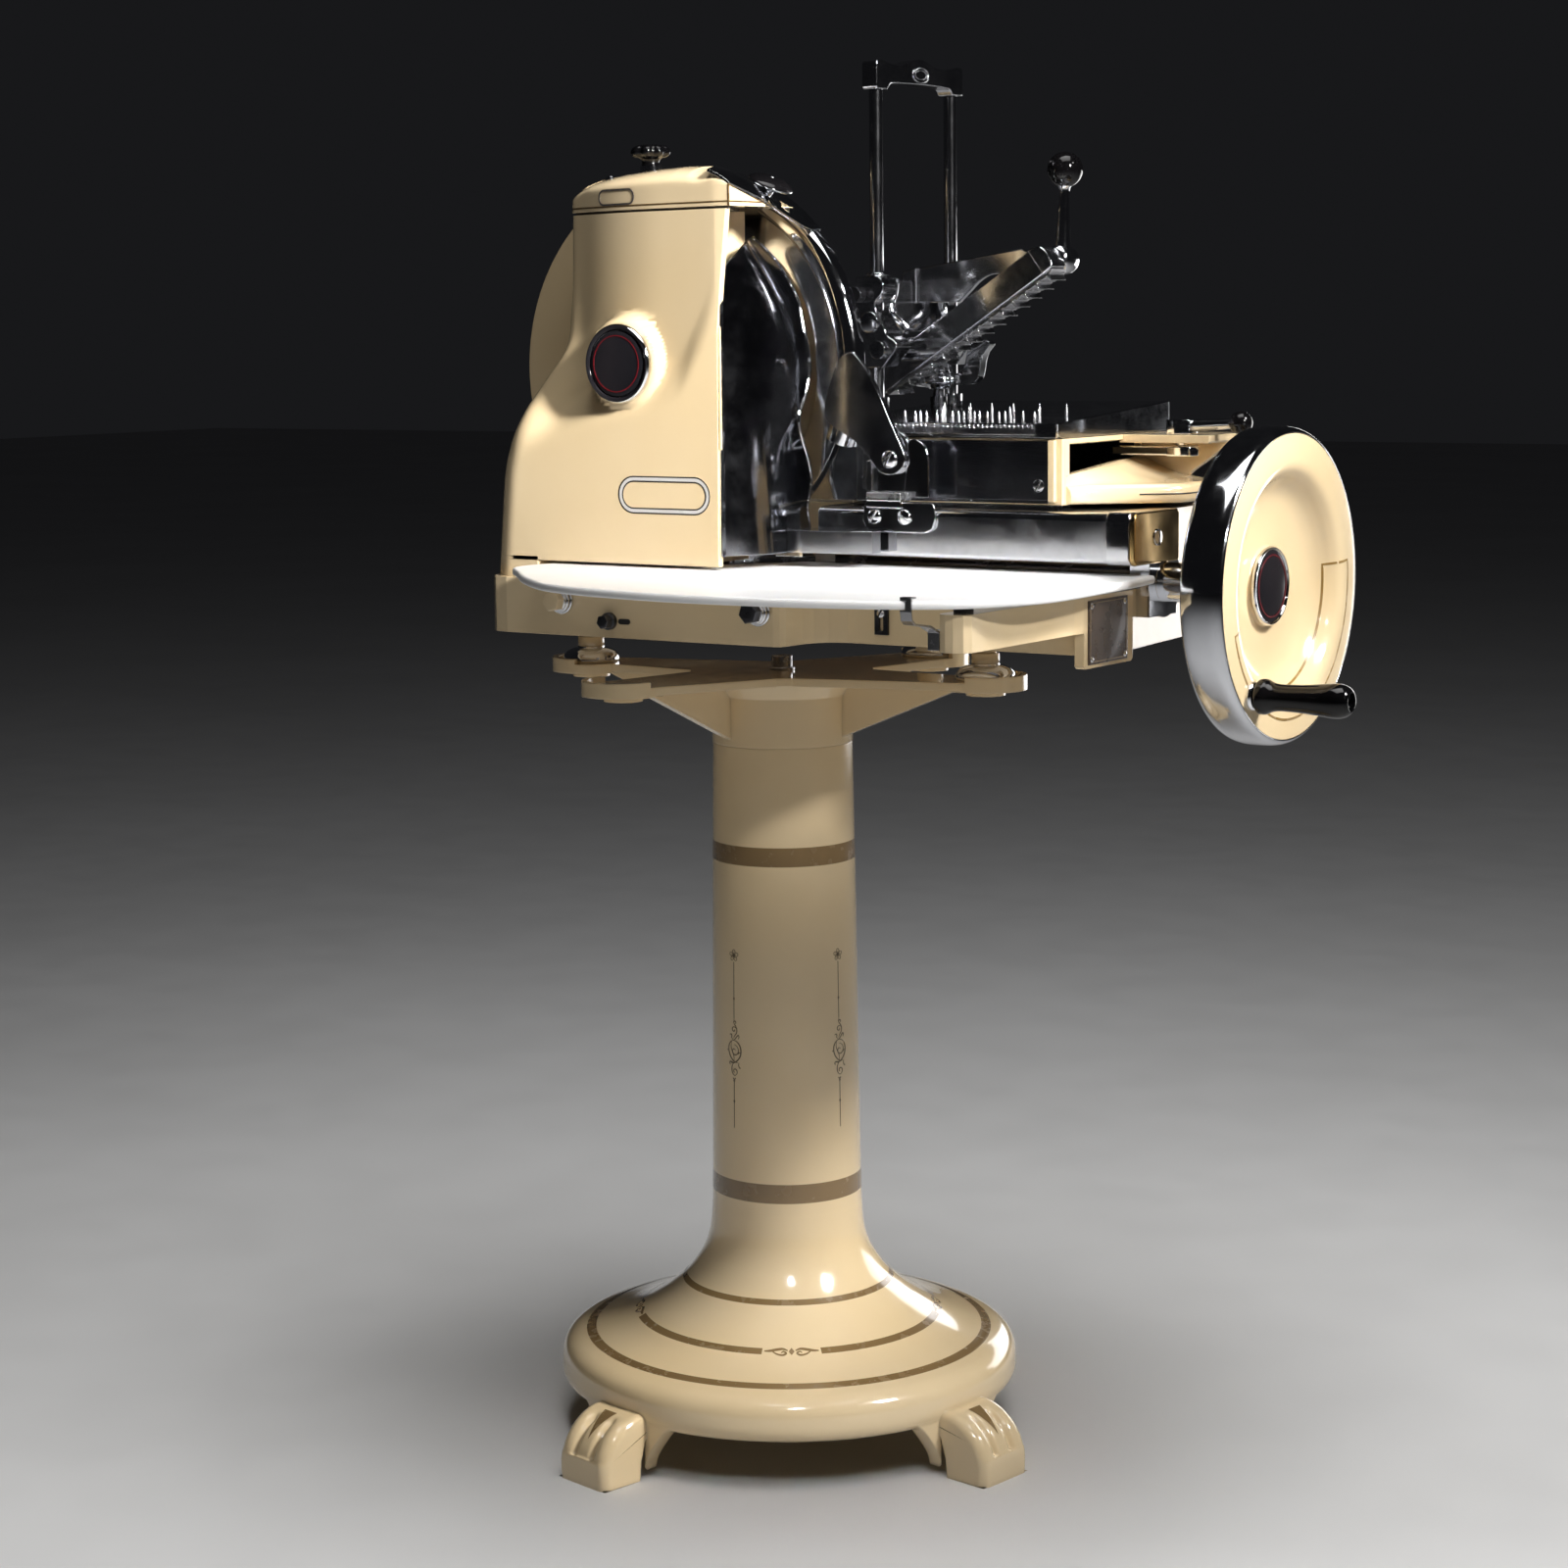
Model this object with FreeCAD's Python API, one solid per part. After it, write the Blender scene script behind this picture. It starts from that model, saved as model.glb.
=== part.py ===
import FreeCAD, Part
import os, math
from FreeCAD import Vector as V

# Hand-cranked flywheel slicer on a cast pedestal.
# Millimetres.  +Z up.  X runs along the machine towards the flywheel,
# -Y is the operator's side.  The origin is on the floor, on the pedestal's axis.

os.makedirs("parts", exist_ok=True)

# ---------------------------------------------------------------- dimensions
PED_YAW = 35.0            # the pedestal's front is turned from the machine's front
COL_TOP_Z = 730.0         # joint between pedestal column and head
COL_R_TOP = 73.0
COL_R_LOW = 79.0
DISC_R = 242.5            # cast foot disc
FOOT_R = 295.0            # reach of the four paw feet
FOOT_W = 71.0
FOOT_ANG = 46.5           # feet stand this far either side of the front and the back
HEAD_Z = 804.0            # top of the star plate
LOBE_R = 42.0
LOBE_A = (203.0, 112.0)   # lobes that carry the machine's diagonal feet
LOBE_B = (162.0, 125.0)   # the other two lobes

BASE_Z0 = 850.0           # underside of the machine base
DECK_Z = 907.0            # deck that the tray lies on
BODY_Z = 978.0            # top of the raised rear part of the base
BASE_XL, BASE_XR = -250.0, 431.0
BASE_YF, BASE_YR, BASE_YB = -187.0, -118.0, 150.0   # front, recessed front, back
WALL = 8.0

KX, KZ = -72.0, 1117.0    # knife axis (parallel to Y)
KNIFE_R = 184.0
KNIFE_Y0, KNIFE_Y1 = -46.0, -42.0
GUARD_RI, GUARD_RO = 174.0, 202.0
COVER_R = 203.0
HOUS_Y0, HOUS_Y1 = -175.0, -66.0
HOUS_Z1 = 1279.0

SHAFT_Z = 912.0           # flywheel shaft, along X at Y = 0
SHAFT_R = 14.0
FLY_R = 150.0
FLY_X0, FLY_X1 = 532.0, 576.0
CRANK_R = 125.0
CROSS_R = 12.0            # cross shaft, along Y at X = KX
CHAIN_Y = -78.0           # mid plane of the knife chain
SPROCKET_R = 28.0
FIT = 0.05                # radial running clearance

BAR_X0, BAR_X1 = 89.0, 440.0
BAR_Y0, BAR_Y1 = -65.0, 25.0
BAR_Z0, BAR_Z1 = 932.0, 980.0

CAR_X0, CAR_X1 = 79.0, 345.0
CAR_Y0, CAR_Y1 = -24.0, 190.0
CAR_Z0, CAR_Z1 = 984.0, 1048.0
TAB_X0, TAB_X1 = 80.0, 340.0
TAB_Y0, TAB_Y1 = -26.0, 210.0
ROD_X, ROD_YA, ROD_YB, ROD_R = 101.0, 30.0, 175.0, 7.0

TRAY_Z0, TRAY_T = 913.5, 8.0
BADGE_Z = 1124.5          # middle of the round swelling and badge on the housing
OX, OY = 186.15, -59.7      # middle of the whole machine's plan, from the pedestal's axis


# ---------------------------------------------------------------- helpers
def box(x0, x1, y0, y1, z0, z1):
    return Part.makeBox(x1 - x0, y1 - y0, z1 - z0, V(x0, y0, z0))


def cyl(r, h, p, d=V(0, 0, 1)):
    return Part.makeCylinder(r, h, p, d)


def ycyl(r, y0, y1, x, z):
    return Part.makeCylinder(r, y1 - y0, V(x, y0, z), V(0, 1, 0))


def xcyl(r, x0, x1, y, z):
    return Part.makeCylinder(r, x1 - x0, V(x0, y, z), V(1, 0, 0))


def zcyl(r, z0, z1, x, y):
    return Part.makeCylinder(r, z1 - z0, V(x, y, z0), V(0, 0, 1))


def face(pts):
    return Part.Face(Part.makePolygon([V(*p) for p in pts] + [V(*pts[0])]))


def prism_z(pts, z0, z1):
    return face([(x, y, z0) for x, y in pts]).extrude(V(0, 0, z1 - z0))


def prism_y(pts, y0, y1):
    return face([(x, y0, z) for x, z in pts]).extrude(V(0, y1 - y0, 0))


def prism_x(pts, x0, x1):
    return face([(x0, y, z) for y, z in pts]).extrude(V(x1 - x0, 0, 0))


def revolve(pts, base, axis, u):
    # pts are (radius, distance along the axis); u is the radial direction
    f = face([tuple(base + u * r + axis * h) for r, h in pts])
    return f.revolve(base, axis, 360)


def zrev(pts, x=0, y=0):
    return revolve(pts, V(x, y, 0), V(0, 0, 1), V(1, 0, 0))


def xrev(pts, y, z):
    return revolve(pts, V(0, y, z), V(1, 0, 0), V(0, 1, 0))


def yrev(pts, x, z):
    return revolve(pts, V(x, 0, z), V(0, 1, 0), V(1, 0, 0))


def ped(shape):
    s = shape.copy()
    s.rotate(V(0, 0, 0), V(0, 0, 1), PED_YAW)
    return s


def fillet(shape, r, pick):
    es = [e for e in shape.Edges if pick(e)]
    if not es:
        return shape
    try:
        out = shape.makeFillet(r, es)
        if out.isValid() and out.Volume > 0.5 * shape.Volume:
            return out
    except Exception:
        pass
    return shape


def vertical(e, tol=1e-3):
    v = e.Vertexes
    return len(v) == 2 and abs(v[0].X - v[1].X) < tol and abs(v[0].Y - v[1].Y) < tol


def along_y(e, tol=1e-3):
    v = e.Vertexes
    return len(v) == 2 and abs(v[0].X - v[1].X) < tol and abs(v[0].Z - v[1].Z) < tol


def along_x(e, tol=1e-3):
    v = e.Vertexes
    return len(v) == 2 and abs(v[0].Y - v[1].Y) < tol and abs(v[0].Z - v[1].Z) < tol


def hexagon(af, x, z):
    r = af / math.sqrt(3)
    return [(x + r * math.cos(math.radians(60 * i + 30)), z + r * math.sin(math.radians(60 * i + 30)))
            for i in range(6)]


def slotted_y(r, y0, y1, x, z, ang=40, depth=1.2, w=1.6):
    # screw head facing -Y with a slot across it
    s = ycyl(r, y0, y1, x, z)
    c = box(x - w / 2, x + w / 2, y0 - 1, y0 + depth, z - r - 1, z + r + 1)
    c.rotate(V(x, 0, z), V(0, 1, 0), ang)
    return s.cut(c)


PIECES = {}


def save(name, shape):
    # keeps the solids of one physical piece until the nodes are written
    solids = []
    for one in (shape if isinstance(shape, list) else [shape]):
        for sol in one.Solids:
            try:
                clean = sol.removeSplitter()
                if not clean.isValid() or not clean.Solids:
                    clean = sol
            except Exception:
                clean = sol
            solids += clean.Solids
    bad = [x for x in solids if not x.isValid()]
    if bad or not solids:
        print("INVALID", name)
    PIECES[name] = solids


# ================================================================ pedestal
# column, bell and disc: one hollow casting on four paw feet
outer = [(0, COL_TOP_Z), (COL_R_TOP, COL_TOP_Z), (COL_R_LOW, 262), (79.6, 236), (81.5, 212), (84.8, 199),
         (89.5, 187), (95.5, 176.5), (102.5, 166), (110.3, 157.5), (121, 147.5), (137, 134.5), (158, 121.4),
         (180, 111.5), (205.5, 103.8), (215.5, 101.5), (228, 98.0), (236.5, 92.0), (241, 84), (DISC_R, 72),
         (DISC_R, 63), (239, 55), (231, 51.5), (0, 51.5)]
inner = [(0, COL_TOP_Z + 1), (62, COL_TOP_Z + 1), (66, 262), (66, 200), (70, 185), (80, 168), (98, 150),
         (124, 124), (150, 110), (200, 93), (222, 86), (226, 80), (226, 50), (0, 50)]
column = zrev(outer).cut(zrev(inner))
foot_prof = [(226, 62), (238, 68), (250, 66), (262, 63), (274, 57), (284, 48), (291, 38), (FOOT_R, 27), (FOOT_R + 1, 14),
             (FOOT_R, 0), (248, 0), (246, 20), (240, 40), (231, 53)]
wing_prof = [(35, 12), (35, 18), (41, 27), (47, 36), (53, 45), (58, 52), (64, 56.5), (75, 57), (75, 61)]
for ang in (FOOT_ANG, -FOOT_ANG, 180 + FOOT_ANG, 180 - FOOT_ANG):
    f = prism_y(foot_prof, -FOOT_W / 2, FOOT_W / 2)
    f = fillet(f, 5, lambda e: abs(abs(e.BoundBox.YMin) - FOOT_W / 2) < 0.01 and abs(e.BoundBox.YMax - e.BoundBox.YMin) < 0.01
               and e.BoundBox.ZMin > 26 and e.BoundBox.XMax > 249)
    ring = zrev([(226, 61), (226, 12), (240, 12), (241, 61)])
    wing = prism_x(wing_prof + [(-y, z) for y, z in reversed(wing_prof)], 200, 300)
    part = f.fuse(ring.common(wing))
    part.rotate(V(0, 0, 0), V(0, 0, 1), -90 + ang)
    column = column.fuse(part)
save("pedestal_column", ped(column))

# head: collar, star plate with four lobes, raised rims and sloping ribs
collar = zrev([(60, COL_TOP_Z), (COL_R_TOP + 0.5, COL_TOP_Z), (COL_R_TOP + 1.5, 788), (60, 788)])
half = [(0, -80), (-150, -162), (-198, -145), (-204, -115), (-175, -85), (-95, -8), (-95, 8), (-182, 78), (-243, 100),
        (-240, 132), (-196, 152)]
outline = half + [(-x, -y) for x, y in half]
plate = prism_z(outline, 795.5, HEAD_Z)
lobes = [(-LOBE_A[0], LOBE_A[1]), (-LOBE_B[0], -LOBE_B[1]), (LOBE_A[0], -LOBE_A[1]), (LOBE_B[0], LOBE_B[1])]
plate = plate.fuse(zrev([(0, 780), (74, 780), (84, 796), (84, HEAD_Z), (0, HEAD_Z)]))
head = plate.fuse(collar)
for lx, ly in lobes:
    head = head.fuse(zcyl(LOBE_R, 794, HEAD_Z, lx, ly)).fuse(zcyl(20, 788, 795, lx, ly))
for lx, ly in lobes:
    dist = math.hypot(lx, ly)
    a = math.degrees(math.atan2(ly, lx))
    rib = prism_y([(66, 742), (73.5, 738), (dist - 24, 794), (dist - 24, 797), (66, 797)], -7, 7)
    rib.rotate(V(0, 0, 0), V(0, 0, 1), a)
    head = head.fuse(rib)
    rim = zcyl(LOBE_R, HEAD_Z, HEAD_Z + 5.5, lx, ly).cut(zcyl(LOBE_R - 6, HEAD_Z - 1, HEAD_Z + 11, lx, ly))
    inner_side = prism_z([(0, 34), (0, -34), (dist - 4, -50), (dist - 4, 50)], 790, 830)
    inner_side.rotate(V(0, 0, 0), V(0, 0, 1), a)
    head = head.fuse(rim.cut(inner_side))
head = head.cut(zcyl(9, 700, 900, 0, 0)).cut(zcyl(60, COL_TOP_Z - 1, 778, 0, 0))
save("pedestal_head", ped(head))

# tie bolt through the head plate: washer and hexagon head
tie = zcyl(8.8, 760, HEAD_Z + 3, 0, 0).fuse(zcyl(13.5, HEAD_Z, HEAD_Z + 3, 0, 0)).fuse(
    zcyl(11, HEAD_Z + 3, HEAD_Z + 15, 0, 0)).cut(
    face([(5 * math.cos(math.radians(60 * i)), 5 * math.sin(math.radians(60 * i)), HEAD_Z + 8) for i in range(6)]).extrude(V(0, 0, 10)))
save("head_tie_bolt", tie)

# tie rod and anchor plate inside the column
save("column_tie_rod", [zcyl(8, 190, 760, 0, 0).fuse(zcyl(64, 192, 200, 0, 0)).fuse(zcyl(14, 178, 192, 0, 0))])

# machine feet: two on the lobes that carry the machine
feet_xy = []
for lx, ly in (lobes[2], lobes[0], lobes[3]):
    c, s = math.cos(math.radians(PED_YAW)), math.sin(math.radians(PED_YAW))
    feet_xy.append((lx * c - ly * s, lx * s + ly * c))
carry = feet_xy
domes, studs = [], []
for x, y in carry:
    d = zrev([(0, HEAD_Z), (30, HEAD_Z), (30, HEAD_Z + 4), (27.5, HEAD_Z + 9), (22, HEAD_Z + 13), (14, HEAD_Z + 15.5),
              (0, HEAD_Z + 15.5)], x, y)
    domes.append(d)
    studs.append(zcyl(13, HEAD_Z + 15.5, BASE_Z0, x, y))
save("foot_domes", domes)
save("foot_studs", studs)

# ================================================================ base casting
low = [(-215, BASE_YF), (116, BASE_YF), (122, -184.5), (125, -178), (126, -150), (130, -136), (140, -124), (158, BASE_YR),
       (BASE_XR, BASE_YR), (BASE_XR, -41), (417, 92), (412, BASE_YB), (BASE_XL + 20, BASE_YB), (BASE_XL, BASE_YB - 20),
       (BASE_XL, -152), (-243, -172), (-232, -183)]
lowc = [(-212, BASE_YF + WALL), (112, BASE_YF + WALL), (117, -172), (118, -146), (132, -118), (154, BASE_YR + WALL),
        (BASE_XR - WALL, BASE_YR + WALL), (BASE_XR - WALL, -41), (409, 92), (404, BASE_YB - WALL),
        (BASE_XL + WALL + 12, BASE_YB - WALL), (BASE_XL + WALL, BASE_YB - 30), (BASE_XL + WALL, -150), (-226, -174)]
base = prism_z(low, BASE_Z0, DECK_Z)
upper = prism_z([(-238, 25), (424, 25), (417, 92), (412, BASE_YB), (-230, BASE_YB), (-238, BASE_YB - 10)], DECK_Z - 5, BODY_Z)
base = base.fuse(upper)
cav = prism_z(lowc, BASE_Z0 - 1, DECK_Z - WALL)
cavu = prism_z([(-230, 33), (415, 33), (409, 92), (404, BASE_YB - WALL), (-226, BASE_YB - WALL)], DECK_Z - 20, BODY_Z - WALL)
base = base.cut(cav).cut(cavu)
# underside flanges that the feet bear on
for x, y in carry:
    base = base.fuse(zcyl(30, BASE_Z0, BASE_Z0 + 10, x, y))
base = base.fuse(box(-245, 412, 40, 76, BASE_Z0, BASE_Z0 + 7)).fuse(box(-245, 425, -60, -24, BASE_Z0, BASE_Z0 + 7))
for x, y in carry:
    base = base.fuse(prism_z([(x - 26, y), (x + 26, y), (x + 26, 140 if y > 80 else 58), (x - 26, 140 if y > 80 else 58)],
                             BASE_Z0, BASE_Z0 + 7)) if y < 58 or y > 80 else base
# tray arm at the right front
arm = prism_z([(396, BASE_YR + 6), (396, -336), (399, -342), (406, -345), (414, -345), (423, -342), (427, -334),
               (428, -150), (BASE_XR, -136), (BASE_XR, BASE_YR + 6)], 873, DECK_Z)
base = base.fuse(arm)
# pad for the plate at the right side
pad = prism_x([(-137, 842), (-134, 839.5), (-44, 839.5), (-41, 842), (-41, DECK_Z), (-137, DECK_Z)], BASE_XR - 10, BASE_XR)
base = base.fuse(pad)
# openings: chain well under the knife housing, shaft holes
base = base.cut(box(-118, -26, -92, -64, 890, 915))
base = base.cut(xcyl(SHAFT_R + 5, 400, 460, 0, SHAFT_Z))
# channels in the deck for the two shafts, and a port for the bevel gears
base = base.cut(box(-60, 424, -20, 20, 896, 915))
base = base.cut(box(KX - 16, KX + 16, -126, 60, 896, 930))
base = base.cut(box(-112, -12, -42, 41, 880, 950))
save("base_frame", base)

# flywheel bearing: flanged bush with a bracket on the right wall
fb = xcyl(SHAFT_R + 5, 421, 478, 0, SHAFT_Z).fuse(xcyl(34, 434.5, 444, 0, SHAFT_Z).cut(box(430, 450, -50, 50, 931.6, 960)))
fb = fb.fuse(box(423, 444, -32, 24, 880, 931.6)).cut(base)
fbs = sorted(fb.Solids, key=lambda s: -s.Volume)[0]
fbs = fbs.cut(xcyl(SHAFT_R + FIT, 380, 500, 0, SHAFT_Z))
fbs = sorted(fbs.Solids, key=lambda s: -s.Volume)[0]
save("flywheel_bearing", fbs)

# inner pillow block that steadies the shaft near the bevel gears
pb = box(60, 84, -26, 26, 857, 930).cut(xcyl(SHAFT_R + FIT, 50, 95, 0, SHAFT_Z))
pb = pb.fuse(box(60, 84, -62, 78, 857, 862)).cut(xcyl(SHAFT_R + FIT, 50, 95, 0, SHAFT_Z))
pb = pb.cut(base)
# the block's cap rises through the channel in the deck
pbs = sorted(pb.Solids, key=lambda s: -s.Volume)
save("shaft_pillow_block", pbs[0])

# ================================================================ fasteners and trim on the base front
bolts, washers = [], []
for x, z in ((-142, 886), (100, 884)):
    bolts.append(prism_y(hexagon(19, x, z), BASE_YF - 21, BASE_YF - 8).fuse(ycyl(6, BASE_YF - 9, BASE_YF, x, z)))
    washers.append(ycyl(12.5, BASE_YF - 7.9, BASE_YF - 4.1, x, z).cut(ycyl(6.1, BASE_YF - 9, BASE_YF + 3, x, z)))
    washers.append(ycyl(14, BASE_YF - 3.9, BASE_YF, x, z).cut(ycyl(6.1, BASE_YF - 9, BASE_YF + 3, x, z)))
save("front_bolts", bolts)
save("front_washers", washers)
clampb = prism_y(hexagon(12, -82, 867), BASE_YF - 14, BASE_YF - 5).fuse(ycyl(8.5, BASE_YF - 5, BASE_YF, -82, 867))
save("slot_bolt", clampb)
slot = box(191, 206, BASE_YR - 3, BASE_YR, 860, 893)
slot = slot.cut(ycyl(2.5, BASE_YR - 5, BASE_YR + 1, 198.5, 866)).cut(ycyl(2.5, BASE_YR - 5, BASE_YR + 1, 198.5, 876)).cut(
    box(196, 201, BASE_YR - 5, BASE_YR + 1, 866, 876))
save("slotted_stop_plate", slot)
save("stop_plate_screw", slotted_y(4.2, BASE_YR - 6, BASE_YR - 3, 198.5, 881, 60).fuse(ycyl(2.2, BASE_YR - 3, BASE_YR - 0.4, 198.5, 881)).cut(slot))

# plate of the machine's data, blank, on the side pad, held by four rivets
pl = box(BASE_XR, BASE_XR + 1.4, -130, -54, 843, 903)
save("blank_plate", pl)
riv = []
for y in (-126, -58):
    for z in (847, 899):
        riv.append(xcyl(2.4, BASE_XR + 1.4, BASE_XR + 2.8, y, z))
save("plate_rivets", riv)

# ================================================================ tray
tray_pts = []


def cr(pts, n=8):
    # closed Catmull-Rom polygon
    out = []
    m = len(pts)
    for i in range(m):
        p0, p1, p2, p3 = pts[i - 1], pts[i], pts[(i + 1) % m], pts[(i + 2) % m]
        for k in range(n):
            t = k / float(n)
            out.append(tuple(0.5 * (2 * p1[j] + (p2[j] - p0[j]) * t + (2 * p0[j] - 5 * p1[j] + 4 * p2[j] - p3[j]) * t * t +
                                    (3 * p1[j] - p0[j] - 3 * p2[j] + p3[j]) * t ** 3) for j in (0, 1)))
    return out


front = [(-153, -128), (-166, -160), (-176, -200), (-170, -232), (-138, -266), (-82, -325), (-8, -381), (90, -410), (180, -420),
         (281, -414), (369, -393), (425, -362), (452, -325), (469, -280), (472, -230), (468, -160), (461, -80), (455, -42)]
fr = []
for i in range(len(front) - 1):
    p0 = front[max(i - 1, 0)]
    p1, p2 = front[i], front[i + 1]
    p3 = front[min(i + 2, len(front) - 1)]
    for k in range(4):
        t = k / 4.0
        fr.append(tuple(0.5 * (2 * p1[j] + (p2[j] - p0[j]) * t + (2 * p0[j] - 5 * p1[j] + 4 * p2[j] - p3[j]) * t * t +
                               (3 * p1[j] - p0[j] - 3 * p2[j] + p3[j]) * t ** 3) for j in (0, 1)))
outline = fr + [(455, -42), (447, -38.5), (60, -38.5), (10, -100), (-10, -128)]
tray = prism_z(outline, TRAY_Z0, TRAY_Z0 + TRAY_T)
tray = fillet(tray, 2.2, lambda e: abs(e.BoundBox.ZMax - e.BoundBox.ZMin) < 1e-6 and e.BoundBox.ZMin > TRAY_Z0 + 1 and e.BoundBox.YMax < -130)
save("receiving_tray", tray)
# rubber stud on the tray arm and its twin on the deck
save("tray_studs", [zcyl(9, DECK_Z, TRAY_Z0, 409, -318), zcyl(8, DECK_Z, TRAY_Z0, 250, -90), zcyl(8, DECK_Z, TRAY_Z0, -125, -152)])

# spring clip that hooks over the tray's front edge and its block on the arm
clip_block = box(384, 395.99, -338, -322, 874, 890)
save("tray_clip_block", clip_block)
clip = prism_x([(-324, 890), (-338, 890), (-352, 896), (-378, 900), (-383, 904), (-384.5, 912), (-384.5, 924.6),
                (-376, 924.6), (-376, 923.2), (-383, 923.2), (-383, 912), (-381.5, 905), (-377, 901.5), (-351, 897.5),
                (-337, 891.5), (-324, 891.5)], 384, 395.5)
clip = clip.cut(prism_z([(x, y) for x, y in outline], TRAY_Z0 - 0.1, TRAY_Z0 + TRAY_T + 0.1))
clip = sorted(clip.Solids, key=lambda s: -s.Volume)[0]
save("tray_clip", clip)

# ================================================================ knife housing
left_up = [(-252, DECK_Z), (-250, 949), (-243, 1001), (-236, 1030), (-226, 1057), (-215, 1075), (-202, 1088), (-185, 1102),
           (-168, 1114), (-158, 1126), (-152, 1142), (-150, 1160), (-149, HOUS_Z1)]
left_in = [(-245, DECK_Z - 1), (-243, 949), (-236, 1000), (-229, 1028), (-219, 1053), (-209, 1070), (-197, 1082),
           (-180, 1096), (-162, 1109), (-151, 1123), (-145, 1141), (-143, 1160), (-142, HOUS_Z1 + 1)]
shell = prism_y(left_up + [(5, HOUS_Z1), (5, DECK_Z)], HOUS_Y0, HOUS_Y1)
front = prism_y(left_up + [(58, HOUS_Z1), (52, 1225), (49, 1196), (46, 1153), (44, 933), (44, DECK_Z)], HOUS_Y0, HOUS_Y0 + 9)
hous = shell.fuse(front)
hous = fillet(hous, 26, lambda e: e.BoundBox.YMax < HOUS_Y0 + 0.01 and e.BoundBox.XMax < -148 and e.BoundBox.ZMin > DECK_Z - 1 and e.BoundBox.ZMax - e.BoundBox.ZMin > 1)
hous = hous.cut(prism_y(left_in + [(-2, HOUS_Z1 + 1), (-2, DECK_Z - 1)], HOUS_Y0 + 7, HOUS_Y1 + 1))
# the shell's lower front edge stands clear of the deck so that the tray passes under it
hous = hous.cut(prism_z([(-186, HOUS_Y0 - 5), (70, HOUS_Y0 - 5), (70, -100), (-140, -100), (-160, -108)], DECK_Z - 1, 928))
# round swelling at the knife's axis
boss = yrev([(0, HOUS_Y0 - 3), (44, HOUS_Y0 - 3), (58, HOUS_Y0), (58, HOUS_Y0 + 7), (0, HOUS_Y0 + 7)], KX, BADGE_Z)
hous = hous.fuse(boss)
# bearing tube cast inside the front
tube = ycyl(34, HOUS_Y0 + 5, -96, KX, KZ)
hous = hous.fuse(tube).cut(ycyl(24, HOUS_Y0 + 8, -90, KX, KZ))
hous = sorted(hous.Solids, key=lambda s: -s.Volume)[0]
hous = hous.cut(yrev([(0, HOUS_Y0 - 3.5), (29.5, HOUS_Y0 - 3.5), (29.5, HOUS_Y0 + 0.5), (0, HOUS_Y0 + 0.5)], KX, BADGE_Z))
save("knife_housing", hous)
save("housing_badge", yrev([(0, -184), (30, -184), (33, -182.5), (33, -178), (29.5, -178), (29.5, -174.5), (0, -174.5)], KX, BADGE_Z))
save("badge_rim", yrev([(33.3, -181), (37, -182.6), (39.5, -180), (39.5, -178), (33.3, -178)], KX, BADGE_Z))

# bushes in the bearing tube
bush = []
for y0, y1 in ((-164, -144), (-118, -98)):
    bush.append(ycyl(24, y0, y1, KX, KZ).cut(ycyl(15 + FIT, y0 - 1, y1 + 1, KX, KZ)))
save("knife_bushes", bush)

# cap with a low dome
cl = [(-150, 1281.5), (-150, 1288), (-146, 1297), (-136, 1304.5), (-118, 1310), (-90, 1313.5), (-50, 1316.5), (-16, 1318)]
cr_f = [(15, 1316), (38, 1311), (54, 1305), (62, 1297), (62, 1281.5)]
cr_b = [(-8, 1311), (4, 1305.5), (29, 1293.5), (50, 1283), (52, 1281.5)]
cap = prism_y(cl + cr_f, HOUS_Y0, -112)
cap = fillet(cap, 11, lambda e: e.BoundBox.YMax < HOUS_Y0 + 0.01 and e.BoundBox.ZMin > 1296)
cap = cap.fuse(prism_y(cl + cr_b, -113, -60))
corner = box(-160, -124, HOUS_Y0 - 5, -149, 1270, 1330).cut(zcyl(26, 1260, 1340, -124, -149))
cap = cap.cut(corner)
ci = [(-143, 1280), (-143, 1286), (-138, 1292), (-128, 1298), (-112, 1303), (-90, 1306), (-50, 1309), (-16, 1310.5)]
cap = cap.cut(prism_y(ci + [(10, 1309), (34, 1304), (50, 1297), (55, 1291), (55, 1280)], HOUS_Y0 + 11, -116))
cap = cap.cut(prism_y(ci + [(-12, 1304), (2, 1298), (26, 1287), (34, 1280)], -120, -67))
cap = cap.cut(zcyl(6.2, 1290, 1330, -79, -110))
# lip that drops into the housing
lip = prism_y([(-141.8, 1272), (-141.8, 1288), (-134, 1288), (-134, 1272)], -140, -72)
gap = prism_y([(-149.5, HOUS_Z1), (-149.5, 1281.6), (50, 1281.6), (50, HOUS_Z1)], HOUS_Y0 + 2, -66).cut(
    prism_y([(-141, 1270), (-141, 1290), (-4, 1290), (-4, 1270)], HOUS_Y0 + 10, -60)).cut(box(5.5, 60, -164, -60, 1270, 1290)).cut(
    box(-160, -124, HOUS_Y0 - 5, -149, 1270, 1330).cut(zcyl(25, 1260, 1340, -124, -149)))
cap = cap.fuse(lip).fuse(gap)
cap = sorted(cap.Solids, key=lambda s: -s.Volume)[0]
save("housing_cap", cap)
save("cap_screw", zcyl(5.5, 1300, 1313, -130, -110).cut(cap))

# sharpener: threaded stem and scalloped knob
KNX, KNY = -79.0, -110.0
knob = zcyl(18.5, 1330, 1341, KNX, KNY)
for i in range(8):
    a = math.radians(45 * i)
    knob = knob.cut(zcyl(4.5, 1320, 1350, KNX + 21 * math.cos(a), KNY + 21 * math.sin(a)))
knob = knob.fuse(zcyl(9, 1322, 1330, KNX, KNY)).fuse(zcyl(6, 1226, 1324, KNX, KNY))
save("sharpener_knob", knob)
save("sharpener_collar", zcyl(11, 1312.0, 1321.6, KNX, KNY).cut(zcyl(6 + FIT, 1300, 1330, KNX, KNY)).cut(cap))

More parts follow.
